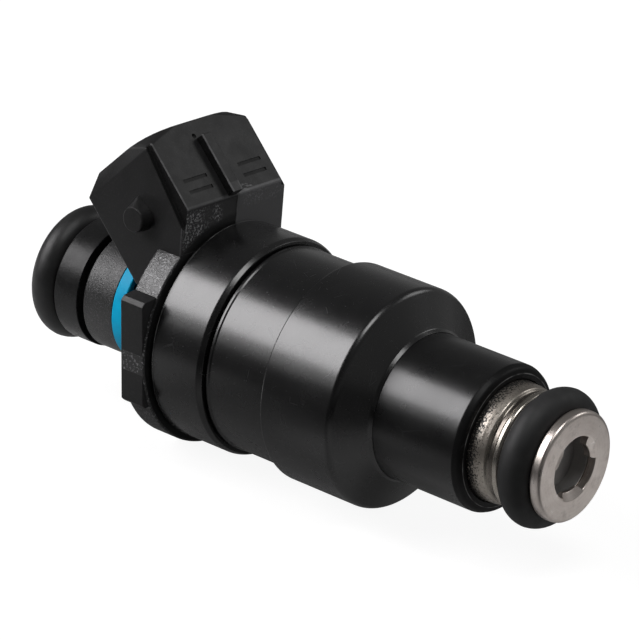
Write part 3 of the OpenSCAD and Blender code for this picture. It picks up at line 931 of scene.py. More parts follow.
def prism(name: str, low: Sequence[Vector], high: Sequence[Vector]) -> bpy.types.Object:
    """Closed solid between two outlines with the same number of points.

    Args:
        name: name of the object.
        low: first outline.
        high: second outline.

    Returns:
        The object, in millimetres.
    """
    shape = bmesh.new()
    first = [shape.verts.new(p) for p in low]
    second = [shape.verts.new(p) for p in high]
    shape.faces.new(first)
    shape.faces.new(second[::-1])
    for i in range(len(first)):
        j = (i + 1) % len(first)
        shape.faces.new((first[i], second[i], second[j], first[j]))
    return from_bmesh(name, shape)


def slanted_block(
    name: str, u: Sequence[float], y: Sequence[float], h: Sequence[float]
) -> bpy.types.Object:
    """Box in the socket's leaning frame.

    Args:
        name: name of the object.
        u: lowest and highest u.
        y: lowest and highest y.
        h: lowest and highest h.

    Returns:
        The object, in millimetres.
    """
    round_trip = ((u[0], y[0]), (u[1], y[0]), (u[1], y[1]), (u[0], y[1]))
    return prism(name, *([slanted(a, b, level) for a, b in round_trip] for level in h))


def dress(
    piece: bpy.types.Object,
    finish: bpy.types.Material | None,
    node: str,
    body: Body = Body.INJECTOR,
) -> None:
    """Puts a finished piece on its body in place of a CAD node.

    Args:
        piece: the mesh, in millimetres.
        finish: its material, or None where the faces have theirs.
        node: the CAD node that it stands for.
        body: the body that it moves with.
    """
    settle(piece)
    if finish is not None:
        piece.data.materials.clear()
        piece.data.materials.append(finish)
    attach(piece, body.value)
    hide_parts(node)
    LOG.info("%s stands for %s with %d faces", piece.name, node, len(piece.data.polygons))


class GeometryTree(Graph):
    """Geometry node tree that ends in one plain mesh."""

    def __init__(self, name: str) -> None:
        """Starts a tree with a geometry output.

        Args:
            name: name of the tree.
        """
        super().__init__(bpy.data.node_groups.new(name, "GeometryNodeTree"))
        self.tree.interface.new_socket("Geometry", in_out="OUTPUT", socket_type="NodeSocketGeometry")
        self.sizes: dict[str, float] = {}
        self.entry = self.add("NodeGroupInput")

    def size(self, name: str, value: float) -> bpy.types.NodeSocket:
        """Adds a named size to the tree.

        Args:
            name: what the size is.
            value: its value in millimetres.

        Returns:
            The size's socket inside the tree.
        """
        made = self.tree.interface.new_socket(name, in_out="INPUT", socket_type="NodeSocketFloat")
        self.sizes[made.identifier] = value
        return self.entry.outputs[name]

    def ring(self, points: int, radius: Any) -> bpy.types.NodeSocket:
        """Circle of so many points."""
        sizes = {"Resolution": points, "Radius": radius}
        return self.add("GeometryNodeCurvePrimitiveCircle", sizes).outputs["Curve"]

    def line(self, length: Any) -> bpy.types.NodeSocket:
        """Straight path along the local axis."""
        end = self.add("ShaderNodeCombineXYZ", {2: length}).outputs[0]
        return self.add("GeometryNodeCurvePrimitiveLine", {"End": end}).outputs["Curve"]

    def wire(self, path: Any, section: Any, caps: bool = False) -> bpy.types.NodeSocket:
        """Mesh of a section that follows a path, with or without end caps."""
        parts = {"Curve": path, "Profile Curve": section, "Fill Caps": caps}
        return self.add("GeometryNodeCurveToMesh", parts).outputs["Mesh"]

    def copies(self, shape: Any, path: Any, count: int = 0) -> bpy.types.NodeSocket:
        """Copies of a shape along a path.

        Args:
            shape: the mesh to repeat.
            path: the curve that it is put on.
            count: how many evenly spaced copies, or 0 for one at each point of the path.

        Returns:
            The copies, as instances.
        """
        if count:
            places = self.add("GeometryNodeCurveToPoints", {"Curve": path, "Count": count})
        else:
            places = self.add("GeometryNodeCurveToPoints", {"Curve": path}, mode="EVALUATED")
        parts = {"Points": places.outputs["Points"], "Instance": shape}
        return self.add("GeometryNodeInstanceOnPoints", parts).outputs[0]

    def piece(
        self, name: str, parts: Sequence[bpy.types.NodeSocket], finish: bpy.types.Material, station: float
    ) -> bpy.types.Object:
        """Closes the tree and makes its mesh.

        Args:
            name: name of the object.
            parts: geometry to join.
            finish: material of the mesh.
            station: station at which the local axis starts.

        Returns:
            The object as a plain mesh, in millimetres, along the injector's axis.
        """
        joined = self.add("GeometryNodeJoinGeometry")
        for part in parts:
            self.tree.links.new(part, joined.inputs[0])
        real = self.add("GeometryNodeRealizeInstances", {0: joined.outputs[0]})
        coat = self.add("GeometryNodeSetMaterial", {"Geometry": real.outputs[0], "Material": finish})
        self.add("NodeGroupOutput", {0: coat.outputs[0]})
        piece = new_object(name, bpy.data.meshes.new(name))
        step = piece.modifiers.new("nodes", "NODES")
        step.node_group = self.tree
        for identifier, value in self.sizes.items():
            step[identifier] = value
        bake_modifiers(piece)
        lay = Matrix.Translation(spot(station, 0, 0)) @ Matrix.Rotation(math.radians(-90), 4, "Y")
        piece.data.transform(lay)
        face_outwards(piece.data)
        piece.data.polygons.foreach_set("use_smooth", [True] * len(piece.data.polygons))
        return piece


def sealing_ring(name: str, station: float, inner: float = 3.76, wire: float = 1.765) -> bpy.types.Object:
    """Rubber ring of round section with the faint flash line of its mould.

    Args:
        name: name of the object.
        station: station of its middle.
        inner: inside radius.
        wire: radius of its section.

    Returns:
        The object, in millimetres.
    """
    flash = 0.012
    profile: Profile = []
    steps = 60
    for k in range(steps):
        a = math.tau * k / steps
        way = Vector((math.sin(a), math.cos(a)))
        line = flash if k % (steps // 2) == 0 else 0.0
        profile.append((Vector((station, inner + wire)) + way * (wire - flash + line), way))
    return lathe(name, profile)


@dataclass
class Nozzle:
    """Tip plate, lower sealing ring and the steel neck."""

    rim_r: float = 5.8
    plate: float = 1.35
    hole_r: float = 3.28
    bore_r: float = 3.4
    sag: float = 0.03
    tabs: tuple[tuple[float, float, float, float], ...] = (
        (31.0, 87.0, 2.5, 0.1),
        (149.0, 206.0, 2.72, 0.5),
        (281.0, 318.0, 2.45, 0.3),
    )
    tab_flank: float = 7.0
    nose_r: float = 3.73
    seat_depth: float = 0.45
    ring_at: float = 3.155

    def build(self, palette: Palette) -> None:
        """Makes and dresses the three pieces.

        Args:
            palette: the injector's finishes.
        """
        dress(self.tip_plate(), palette.tip, "tip_plate_cap")
        dress(sealing_ring("lower_ring", self.ring_at), palette.rubber, "manifold_ring")
        neck = self.neck()
        add_finishes(neck, (palette.neck, palette.sooty))
        for face in neck.data.polygons:
            face.material_index = int(math.hypot(face.center.y, face.center.z) < self.bore_r)
        dress(neck, None, "valve_body")

    def opening(self, degree: float) -> tuple[float, float]:
        """Edge of the spray opening at one angle.

        Args:
            degree: angle from the socket's side towards the right.

        Returns:
            The opening's radius, and how far a bent tab dips there.
        """
        for start, end, inner, dip in self.tabs:
            edge = min(degree - start, end - degree) / self.tab_flank
            if edge > 0:
                share = min(1.0, edge) ** 0.5
                return self.hole_r - (self.hole_r - inner) * share, self.sag + dip * share
        return self.hole_r, self.sag

    def tip_plate(self) -> bpy.types.Object:
        """Stainless plate with its rounded rim and three bent tabs in the opening.

        Returns:
            The object, in millimetres.
        """
        wall, columns = self.plate - self.seat_depth, 360
        spots = []
        for i in range(columns):
            reach, dip = self.opening(i * 360 / columns)
            profile = rounded(
                [
                    Corner(reach, dip, 0.09),
                    Corner(self.hole_r + 0.22, 0.0, 0.2),
                    Corner(self.rim_r, 0.0, 0.42),
                    Corner(self.rim_r, self.plate, 0.34),
                    Corner(self.nose_r, self.plate),
                    Corner(self.nose_r, wall),
                    Corner(reach, wall),
                ],
                4,
            )
            angle = math.tau * i / columns
            spots += [spot(p.x, p.y * math.sin(angle), p.y * math.cos(angle)) for p, _ in profile]
        mesh = bpy.data.meshes.new("tip_plate")
        mesh.from_pydata(spots, [], ring_faces(columns, len(profile)))
        face_outwards(mesh)
        plate = new_object("tip_plate", mesh)
        shade(plate, 40)
        return plate

    def neck(self) -> bpy.types.Object:
        """Steel valve body: nose, bright flange, crease, bead and stem.

        Returns:
            The object, in millimetres.
        """
        return turned(
            "steel_neck",
            [
                Corner(3.1, 0.92),
                Corner(3.71, 0.92),
                Corner(3.71, 4.96, 0.1),
                Corner(6.2, 4.96, 0.33),
                Corner(6.2, 5.66, 0.33),
                Corner(5.8, 5.86, 0.25),
                Corner(5.8, 6.42, 0.3),
                Corner(6.12, 6.66, 0.25),
                Corner(6.26, 7.4, 1.0),
                Corner(6.3, 8.3, 0.4),
                Corner(6.36, 8.9, 0.05),
                Corner(5.5, 8.9, 0.05),
                Corner(5.5, 24.21),
                Corner(4.93, 24.21),
                Corner(4.93, 22.99),
                Corner(4.63, 22.99),
                Corner(4.63, 15.39),
                Corner(2.0, 15.39),
                Corner(2.0, 8.26),
                Corner(3.1, 8.26),
            ],
        )


@dataclass
class Housings:
    """The three painted steel shells."""

    pilot_r: float = 7.8
    lip_r: float = 8.1
    barrel_r: float = 11.75
    step_r: float = 11.0
    crimp_r: float = 10.35
    sleeve_r: float = 11.75
    nose_at: float = 9.4

    def build(self, palette: Palette) -> None:
        """Makes and dresses the shells.

        Args:
            palette: the injector's finishes.
        """
        pilot = self.pilot()
        add_finishes(pilot, (palette.pilot_paint, palette.nose_paint))
        for face in pilot.data.polygons:
            face.material_index = int(DATUM - face.center.x < self.nose_at)
        dress(pilot, None, "lower_housing")
        dress(self.barrel(), palette.paint, "coil_housing")
        dress(self.sleeve(), palette.paint, "upper_housing")

    def pilot(self) -> bpy.types.Object:
        """Shell that stands in the manifold, with its nose ring and lip.

        Returns:
            The object, in millimetres.
        """
        return turned(
            "pilot_shell",
            [
                Corner(6.45, 8.51, 0.05),
                Corner(6.85, 8.51, 0.2),
                Corner(7.52, 8.72, 0.55),
                Corner(self.pilot_r, 9.35, 0.8),
                Corner(self.pilot_r, 21.15, 0.8),
                Corner(self.lip_r, 21.8, 0.12),
                Corner(self.lip_r, 22.39, 0.1),
                Corner(6.95, 22.39),
                Corner(6.95, 24.21),
                Corner(5.52, 24.21),
                Corner(5.52, 9.01),
                Corner(6.45, 9.01),
            ],
            7,
        )

    def barrel(self) -> bpy.types.Object:
        """Shell over the coil: fillet and cone in front, upper step, and the ridge before the crimp.

        Returns:
            The object, in millimetres.
        """
        return turned(
            "barrel_shell",
            [
                Corner(6.97, 22.41),
                Corner(8.12, 22.41),
                Corner(8.12, 21.0),
                Corner(7.82, 20.95),
                Corner(7.82, 19.42),
                Corner(7.86, 19.42, 0.03),
                Corner(8.1, 19.8, 0.25),
                Corner(8.43, 20.0, 0.08),
                Corner(self.barrel_r, 21.91, 0.9),
                Corner(self.barrel_r, 30.96, 0.3),
                Corner(self.step_r, 30.96, 0.16),
                Corner(self.step_r, 38.28, 0.04),
                Corner(11.09, 38.45, 0.04),
                Corner(11.09, 38.74, 0.08),
                Corner(10.75, 38.91, 0.05),
                Corner(10.0, 38.91),
                Corner(10.0, 23.41),
                Corner(6.97, 23.41),
            ],
            7,
        )

    def sleeve(self) -> bpy.types.Object:
        """Upper shell with its sloped crimp edge and the web over the coil.

        Returns:
            The object, in millimetres.
        """
        return turned(
            "sleeve_shell",
            [
                Corner(4.62, 36.91),
                Corner(9.98, 36.91),
                Corner(9.98, 38.93),
                Corner(self.crimp_r, 38.93),
                Corner(self.crimp_r, 38.98, 0.02),
                Corner(11.48, 38.98, 0.08),
                Corner(self.sleeve_r, 39.5, 0.5),
                Corner(self.sleeve_r, 45.86, 0.3),
                Corner(9.3, 45.86),
                Corner(9.3, 38.41),
                Corner(4.62, 38.41),
            ],
            7,
        )


@dataclass
class Head:
    """Moulded head with its leaning socket, the marking ring and the two blades."""

    head_at: float = 46.01
    flange_r: float = 12.5
    flange_end: float = 49.5
    flank_depth: float = 0.35
    groove_at: float = 60.5
    neck_r: float = 6.5
    collar_r: float = 6.7
    half_w: float = 7.85
    half_t: float = 5.5
    rim_h: float = 24.35
    wall_h: float = 22.8
    hollow_h: float = 14.65
    hollow_t: float = 4.15
    hollow_w: float = 6.5
    foot_z: float = 5.0
    lean_ahead: float = 6.9

    def build(self, palette: Palette) -> None:
        """Makes and dresses the pieces.

        Args:
            palette: the injector's finishes.
        """
        dress(self.moulding(palette), None, "moulded_head")
        ring = turned(
            "marking_ring",
            [Corner(5.95, 54.46), Corner(6.65, 54.46, 0.2), Corner(6.65, 56.06, 0.2), Corner(5.95, 56.06)],
        )
        dress(ring, palette.blue, "colour_ring")
        for name, side, node in (("blade_left", -1, "terminal_left"), ("blade_right", 1, "terminal_right")):
            dress(self.blade(name, side), palette.tinned, node)

    def moulding(self, palette: Palette) -> bpy.types.Object:
        """The head as one closed mesh.

        Args:
            palette: the finishes, of which the head takes six.

        Returns:
            The object, in millimetres.
        """
        head = self.trunk()
        combine(head, self.flange_side(), Cut.REMOVE)
        self.sort_faces(head)
        surfaces = {
            Surface.SMOOTH: palette.socket,
            Surface.GRAINED: palette.grained,
            Surface.SATIN: palette.collar,
            Surface.FLANK: palette.flank,
            Surface.SHADOW: palette.shadow,
            Surface.GROOVE: palette.groove,
        }
        for tool in (self.socket(), self.key_rib(), self.peg(), self.pad()):
            add_finishes(tool, list(surfaces.values()))
            combine(head, tool, Cut.JOIN)
        cuts = [(self.foot_recess(), Surface.SMOOTH)]
        # the latch grooves and the sink mark take the painted shade finish
        cuts += [(tool, Surface.GROOVE) for tool in (*self.latch_grooves(), self.dimple())]
        for tool, surface in cuts:
            add_finishes(tool, list(surfaces.values()))
            set_slot(tool, surface)
            combine(head, tool, Cut.REMOVE)
        for surface, finish in surfaces.items():
            head.data.materials[surface] = finish
        shade(head)
        return head

    def trunk(self) -> bpy.types.Object:
        """Turned part of the head: plug, flange, neck, clip groove and collar.

        Returns:
            The object, in millimetres.
        """
        return turned(
            "moulded_body",
            [
                Corner(4.62, 39.01),
                Corner(9.28, 39.01),
                Corner(9.28, self.head_at),
                Corner(self.flange_r, self.head_at, 0.22),
                Corner(self.flange_r, 49.26, 0.3),
                Corner(5.9, 49.26, 0.15),
                Corner(5.9, 56.11, 0.05),
                Corner(self.neck_r, 56.11, 0.14),
                Corner(self.neck_r, 60.21, 0.1),
                Corner(5.7, 60.21, 0.05),
                Corner(5.7, 60.96, 0.05),
                Corner(self.collar_r, 60.96, 0.1),
                Corner(self.collar_r, 64.36, 0.3),
                Corner(4.62, 64.36),
            ],
        )

    def flange_side(self) -> bpy.types.Object:
        """What the flat on the right takes off the base flange.

        Returns:
            The tool, in millimetres.
        """
        flat, reach, turn = 11.55, 13.0, Matrix.Rotation(math.radians(-52), 3, "X")
        outline = ((-reach, flat), (reach, flat), (reach, flat + reach), (-reach, flat + reach))
        ends = [[turn @ spot(station, y, z) for y, z in outline] for station in (49.46, 45.81)]
        return prism("flat", *ends)

    def sort_faces(self, head: bpy.types.Object) -> None:
        """Gives the turned faces their grain: the flange coarse, the neck finer, the collar satin.

        Args:
            head: turned part of the head, in millimetres.
        """
        add_finishes(head, [bpy.data.materials.new(surface.name.lower()) for surface in Surface])
        for face in head.data.polygons:
            station, radius = DATUM - face.center.x, math.hypot(face.center.y, face.center.z)
            if station > self.groove_at:
                face.material_index = Surface.SATIN
            elif station > self.flange_end:
                face.material_index = Surface.GRAINED
            else:
                on_flank = radius > self.flange_r - self.flank_depth
                face.material_index = Surface.FLANK if on_flank else Surface.SMOOTH

    def socket(self) -> bpy.types.Object:
        """Leaning socket with its foot, chamfered rim, corner ledges and hollow.

        Returns:
            The object, in millimetres.
        """
        start, front, back = self.head_at - 0.012, self.half_t, -self.half_t
        elbow = self.lean_ahead + self.half_t / SLANT
        foot_back = self.half_t / SLANT + self.foot_z - self.lean_ahead
        outline = [
            spot(start, 0, 0.5),
            spot(start, 0, elbow),
            slanted(front, 0, self.rim_h),
            slanted(back, 0, self.rim_h),
            spot(self.head_at + foot_back, 0, self.foot_z),
            spot(48.96, 0, self.foot_z),
            spot(48.96, 0, 0.5),
        ]
        across = Vector((0, self.half_w, 0))
        body = prism("socket", [p - across for p in outline], [p + across for p in outline])
        self.cut_rim(body)
        for side, depths in ((-1, (1.7, 0.12)), (1, (0.42, 0.42))):
            combine(body, self.ledge(side, depths), Cut.REMOVE)
        combine(body, self.hollow(), Cut.REMOVE)
        soften(body, 0.14, 3)
        bore = turned("bore", [Corner(0.5, 38), Corner(4.62, 38), Corner(4.62, 66), Corner(0.5, 66)], 1, 96)
        combine(body, bore, Cut.REMOVE)
        return body

    def ledge(self, side: int, depths: tuple[float, float]) -> bpy.types.Object:
        """What a ledge takes off one front edge of the socket.

        Args:
            side: -1 for the left edge, 1 for the right edge.
            depths: its depth at the foot and above the rim.

        Returns:
            The tool, in millimetres.
        """
        middle, half, outer = side * self.half_w, 0.52, self.half_t + 1
        ends = []
        for h, depth in zip((12.0, self.rim_h + 1), depths):
            inner = self.half_t - depth
            corners = ((inner, -half), (outer, -half), (outer, half), (inner, half))
            ends.append([slanted(u, middle + y, h) for u, y in corners])
        tool = prism("ledge", *ends)
        set_slot(tool, Surface.SHADOW)
        return tool

    def rim_planes(self, side: int) -> list[tuple[Vector, Vector]]:
        """Cuts of one end of the rim: its chamfer, a round front corner and a flat back corner.

        Args:
            side: -1 for the left end, 1 for the right end.

        Returns:
            A point and an outward direction of each cut, in the leaning frame.
        """
        band, end_cut, corner_w, corner_t = self.rim_h - self.wall_h, 0.55, 3.55, 2.6
        y, u, steps = side * self.half_w, self.half_t, 7
        planes = [(Vector((0, y, self.wall_h)), Vector((0, side * band, end_cut)))]
        back = Vector((-(corner_w - end_cut) * band, side * corner_t * band, corner_w * corner_t))
        planes.append((Vector((-u, y, self.wall_h)), back))
        apex = Vector((u, y, self.wall_h))
        start = Vector((u, y - side * 5.85, self.rim_h))
        bend = Vector((u, y - side * end_cut, self.rim_h))
        end = Vector((u - 3.8, y - side * end_cut, self.rim_h))
        for k in range(steps):
            t = (k + 0.5) / steps
            point = start * (1 - t) ** 2 + bend * 2 * t * (1 - t) + end * t**2
            along = (bend - start) * (1 - t) + (end - bend) * t
            way = along.cross(apex - point)
            planes.append((apex, way if way.z > 0 else -way))
        return planes

    def cut_rim(self, body: bpy.types.Object) -> None:
        """Cuts the rim's chamfers and corners at both ends.

        Args:
            body: the socket's solid, in millimetres.
        """
        shape = bmesh.new()
        shape.from_mesh(body.data)
        for point, way in (*self.rim_planes(-1), *self.rim_planes(1)):
            everything = shape.verts[:] + shape.edges[:] + shape.faces[:]
            bmesh.ops.bisect_plane(
                shape,
                geom=everything,
                dist=1e-4,
                plane_co=slanted(*point),
                plane_no=slanted_way(*way),
                clear_outer=True,
            )
            bmesh.ops.holes_fill(shape, edges=[e for e in shape.edges if e.is_boundary])
        bmesh.ops.recalc_face_normals(shape, faces=shape.faces[:])
        shape.to_mesh(body.data)
        shape.free()

    def hollow(self) -> bpy.types.Object:
        """Room for the plug, with rounded corners and a little draft.

        Returns:
            The tool, in millimetres.
        """
        q, steps, draft = 1.2, 6, 0.12
        thin, narrow = 1 - draft / self.hollow_t, 1 - draft / self.hollow_w
        low, high = [], []
        for su, sy, first in ((1, 1, 0), (-1, 1, 90), (-1, -1, 180), (1, -1, 270)):
            for k in range(steps + 1):
                a = math.radians(first + 90 * k / steps)
                u = su * (self.hollow_t - q) + q * math.cos(a)
                y = sy * (self.hollow_w - q) + q * math.sin(a)
                low.append(slanted(u * thin, y * narrow, self.hollow_h))
                high.append(slanted(u, y, self.rim_h + 1))
        return prism("hollow", low, high)

    def key_rib(self) -> bpy.types.Object:
        """Rib down the middle of the socket's front.

        Returns:
            The object, in millimetres.
        """
        across, along = (-0.92, 0.58), (self.wall_h - 7.4, self.wall_h - 0.5)
        rib = slanted_block("rib", (self.half_t - 0.85, self.half_t + 0.9), across, along)
        soften(rib, 0.1, 3)
        for face in rib.data.polygons:
            face.material_index = Surface.SHADOW if face.normal.y < -0.9 else Surface.SMOOTH
        return rib

    def latch_grooves(self) -> list[bpy.types.Object]:
        """Shallow grooves along both edges of the two latch bars.

        Returns:
            The tools, in millimetres.
        """
        half_length, half_width, room = 1.75, 0.2, (self.half_t - 0.08, self.half_t + 1)
        grooves = []
        for y in (-4.0, 4.3):
            for h in (17.0, 18.3):
                across, along = (y - half_length, y + half_length), (h - half_width, h + half_width)
                grooves.append(slanted_block("groove", room, across, along))
        return grooves

    def foot_recess(self) -> bpy.types.Object:
        """Step that sets back the left half of the foot's front.

        Returns:
            The tool, in millimetres.
        """
        edge, depth, left, z = 0.36, 0.08, -7.8, (9.9, 14.62)
        ends = []
        for station, reach in ((self.head_at + depth, edge), (self.head_at - 0.05, edge + depth)):
            corners = ((left, z[0]), (reach, z[0]), (reach, z[1]), (left, z[1]))
            ends.append([spot(station, a, b) for a, b in corners])
        return prism("recess", *ends)

    def dimple(self) -> bpy.types.Object:
        """Small sink mark beside the rib's top.

        Returns:
            The tool, in millimetres.
        """
        shape = bmesh.new()
        bmesh.ops.create_icosphere(shape, subdivisions=2, radius=0.3)
        bmesh.ops.translate(shape, verts=shape.verts[:], vec=slanted(self.half_t + 0.05, -1.1, 22.6))
        return from_bmesh("dimple", shape)

    def peg(self) -> bpy.types.Object:
        """Round peg on the socket's side, with the ramp above it.

        Returns:
            The object, in millimetres.
        """
        root, end, middle, edge = -self.half_w + 0.3, -self.half_w - 1.5, self.wall_h - 5.15, 0.16
        rings = ((1.5, root), (1.36, end + edge), (1.32, end + edge * 0.35), (1.35 - edge, end))
        ramp_top, ramp_height, columns = 1.95, 0.35, 64
        shape = bmesh.new()
        for r, y in rings:
            for k in range(columns):
                a = math.tau * k / columns
                shape.verts.new(slanted(r * math.cos(a), y, middle + r * math.sin(a)))
        for u in (0.75, 0.95):
            for y in (root, root - ramp_height):
                shape.verts.new(slanted(u, y, middle + ramp_top))
        made = bmesh.ops.convex_hull(shape, input=shape.verts[:])
        spare = [v for v in made["geom_interior"] if isinstance(v, bmesh.types.BMVert)]
        bmesh.ops.delete(shape, geom=spare, context="VERTS")
        return from_bmesh("peg", shape)

    def pad(self) -> bpy.types.Object:
        """Bare label pad on the base flange.

        Returns:
            The object, in millimetres.
        """
        root, face, top, foot, q = -8.0, -12.45, 7.05, -5.0, 0.45
        turn = Matrix.Rotation(math.radians(5.5), 3, "X")
        edge = ((face + q, foot), (face, foot + q), (face, top - q), (face + q, top))
        outline = ((root, foot), *edge, (root, top))
        ends = [[turn @ spot(station, y, z) for y, z in outline] for station in (49.21, 46.21)]
        pad = prism("pad", *ends)
        soften(pad, 0.1, 2, 20)
        return pad

    def blade(self, name: str, side: int) -> bpy.types.Object:
        """Contact blade with a tapered tip, and the strip that runs to the coil.

        Args:
            name: name of the object.
            side: -1 for the left one, 1 for the right one.

        Returns:
            The object, in millimetres.
        """
        y, half_w, half_t, tip_h = side * 2.5, 1.4, 0.4, 21.65
        shape = bmesh.new()
        rows = ((12.29, 1.0, 1.0), (tip_h - 1.3, 1.0, 1.0), (tip_h, 0.68, 0.42))
        loops = []
        for h, wide, thick in rows:
            corners = ((-1, -1), (1, -1), (1, 1), (-1, 1))
            loops.append(
                [shape.verts.new(slanted(a * half_w * wide, y + b * half_t * thick, h)) for a, b in corners]
            )
        shape.faces.new(loops[0])
        shape.faces.new(loops[-1][::-1])
        for low, high in zip(loops, loops[1:]):
            for i in range(4):
                j = (i + 1) % 4
                shape.faces.new((low[i], high[i], high[j], low[j]))
        blade = from_bmesh(name, shape)
        thin, foot, top = half_t - 0.004, 7.0, 8.4
        outline = [(y - thin, foot), (y + thin, foot), (y + thin, top), (y - thin, top)]
        strip = prism("strip", *([spot(station, a, b) for a, b in outline] for station in (48.59, 35.61)))
        combine(blade, strip, Cut.JOIN)
        soften(blade, 0.06, 2)
        shade(blade)
        return blade


@dataclass
class Inlet:
    """Inlet tube, upper sealing ring and the filter's mesh."""

    ring_at: float = 66.165
    mesh_r: float = 2.1
    mesh_sink: float = 0.06
    mesh_wire: float = 0.045
    mesh_from: float = 56.92
    mesh_to: float = 66.22

    def build(self, palette: Palette) -> None:
        """Makes and dresses the pieces.

        Args:
            palette: the injector's finishes.
        """
        dress(self.tube(), palette.inlet, "inlet_tube")
        dress(sealing_ring("upper_ring", self.ring_at), palette.rail_rubber, "rail_ring")
        dress(self.weave(palette), None, "filter_mesh")

    def tube(self) -> bpy.types.Object:
        """Steel tube from the pole face to the inlet's lip.

        Returns:
            The object, in millimetres.
        """
        return turned(
            "inlet_pipe",
            [
                Corner(2.45, 26.51),
                Corner(4.6, 26.51, 0.2),
                Corner(4.6, 64.16),
                Corner(3.71, 64.16),
                Corner(3.71, 67.97, 0.1),
                Corner(5.0, 67.97, 0.15),
                Corner(5.0, 68.67, 0.22),
                Corner(3.0, 68.67, 0.2),
                Corner(3.0, 54.57),
                Corner(2.45, 54.07),
            ],
        )

    def weave(self, palette: Palette) -> bpy.types.Object:
        """Stocking of crossed wires: hoops along the axis and straight wires round it.

        Args:
            palette: the injector's finishes.

        Returns:
            The object, in millimetres.
        """
        tree = GeometryTree("filter_weave")
        length = tree.size("Length", self.mesh_to - self.mesh_from)
        radius = tree.size("Radius", self.mesh_r - self.mesh_sink)
        section = tree.ring(5, tree.size("Wire", self.mesh_wire))
        row = tree.line(length)
        hoops = tree.copies(tree.wire(tree.ring(48, radius), section), row, 40)
        lines = tree.copies(tree.wire(row, section, True), tree.ring(44, radius))
        return tree.piece("filter_weave", [hoops, lines], palette.spring, self.mesh_from)


@dataclass
class Works:
    """Inside of the injector: spring, winding and the turned pieces that stay as they are."""

    spring_from: float = 22.69
    spring_to: float = 36.01
    spring_r: float = 1.8
    spring_wire: float = 0.28
    spring_turns: float = 9.0
    lift: float = 0.1
    winding_r: float = 9.3
    winding_bore: float = 5.87
    winding_from: float = 25.83
    winding_to: float = 35.19

    def build(self, palette: Palette) -> None:
        """Makes the spring and the winding and finishes the other nodes.

        Args:
            palette: the injector's finishes.
        """
        spring = self.spring(palette)
        dress(spring, None, "return_spring")
        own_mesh(spring)
        dress(self.winding(palette), None, "coil_winding")
        finishes = {
            "orifice_disc": palette.sooty,
            "valve_seat": palette.steel,
            "needle_guide": palette.steel,
            "needle": palette.steel,
            "armature": palette.steel,
            "guide_sleeve": palette.tip,
            "adjusting_tube": palette.tip,
            "filter_frame": palette.filter,
            "coil_bobbin": palette.bobbin,
            "upper_coil_seal": palette.rubber,
            "lower_coil_seal": palette.rubber,
        }
        for node, finish in finishes.items():
            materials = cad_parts[node].data.materials
            materials.clear()
            materials.append(finish)
            LOG.info("%s keeps its solid with %s", node, finish.name)

    def spring(self, palette: Palette) -> bpy.types.Object:
        """Round-wire spring on a rising spiral.

        Args:
            palette: the injector's finishes.

        Returns:
            The object, in millimetres.
        """
        tree = GeometryTree("return_coil")
        wire = tree.size("Wire", self.spring_wire)
        radius = tree.size("Radius", self.spring_r)
        rise = tree.size("Rise", self.spring_to - self.spring_from)
        turns = tree.size("Turns", self.spring_turns)
        sizes = {"Resolution": 40, "Rotations": turns, "Start Radius": radius, "End Radius": radius}
        path = tree.add("GeometryNodeCurveSpiral", {**sizes, "Height": rise}).outputs["Curve"]
        body = tree.wire(path, tree.ring(14, wire), True)
        return tree.piece("return_coil", [body], palette.spring, self.spring_from)

    def winding(self, palette: Palette) -> bpy.types.Object:
        """Outer layer of turns on a solid core of the layers under it.

        Args:
            palette: the injector's finishes.

        Returns:
            The object, in millimetres.
        """
        turns, wire = 36, 0.13
        tree = GeometryTree("copper_turns")
        radius = tree.size("Radius", self.winding_r - wire)
        thick = tree.size("Wire", wire)
        length = tree.size("Length", self.winding_to - self.winding_from - 2 * wire)
        turn = tree.wire(tree.ring(72, radius), tree.ring(8, thick))
        layer = tree.copies(turn, tree.line(length), turns)
        outer = tree.piece("copper_turns", [layer], palette.copper, self.winding_from + wire)
        top = self.winding_r - wire
        core = turned(
            "core",
            [
                Corner(self.winding_bore, self.winding_from),
                Corner(top, self.winding_from),
                Corner(top, self.winding_to),
                Corner(self.winding_bore, self.winding_to),
            ],
            2,
            72,
        )
        core.data.materials.append(palette.copper)
        both = [outer, core]
        with bpy.context.temp_override(
            active_object=outer, object=outer, selected_editable_objects=both, selected_objects=both
        ):
            bpy.ops.object.join()
        return outer


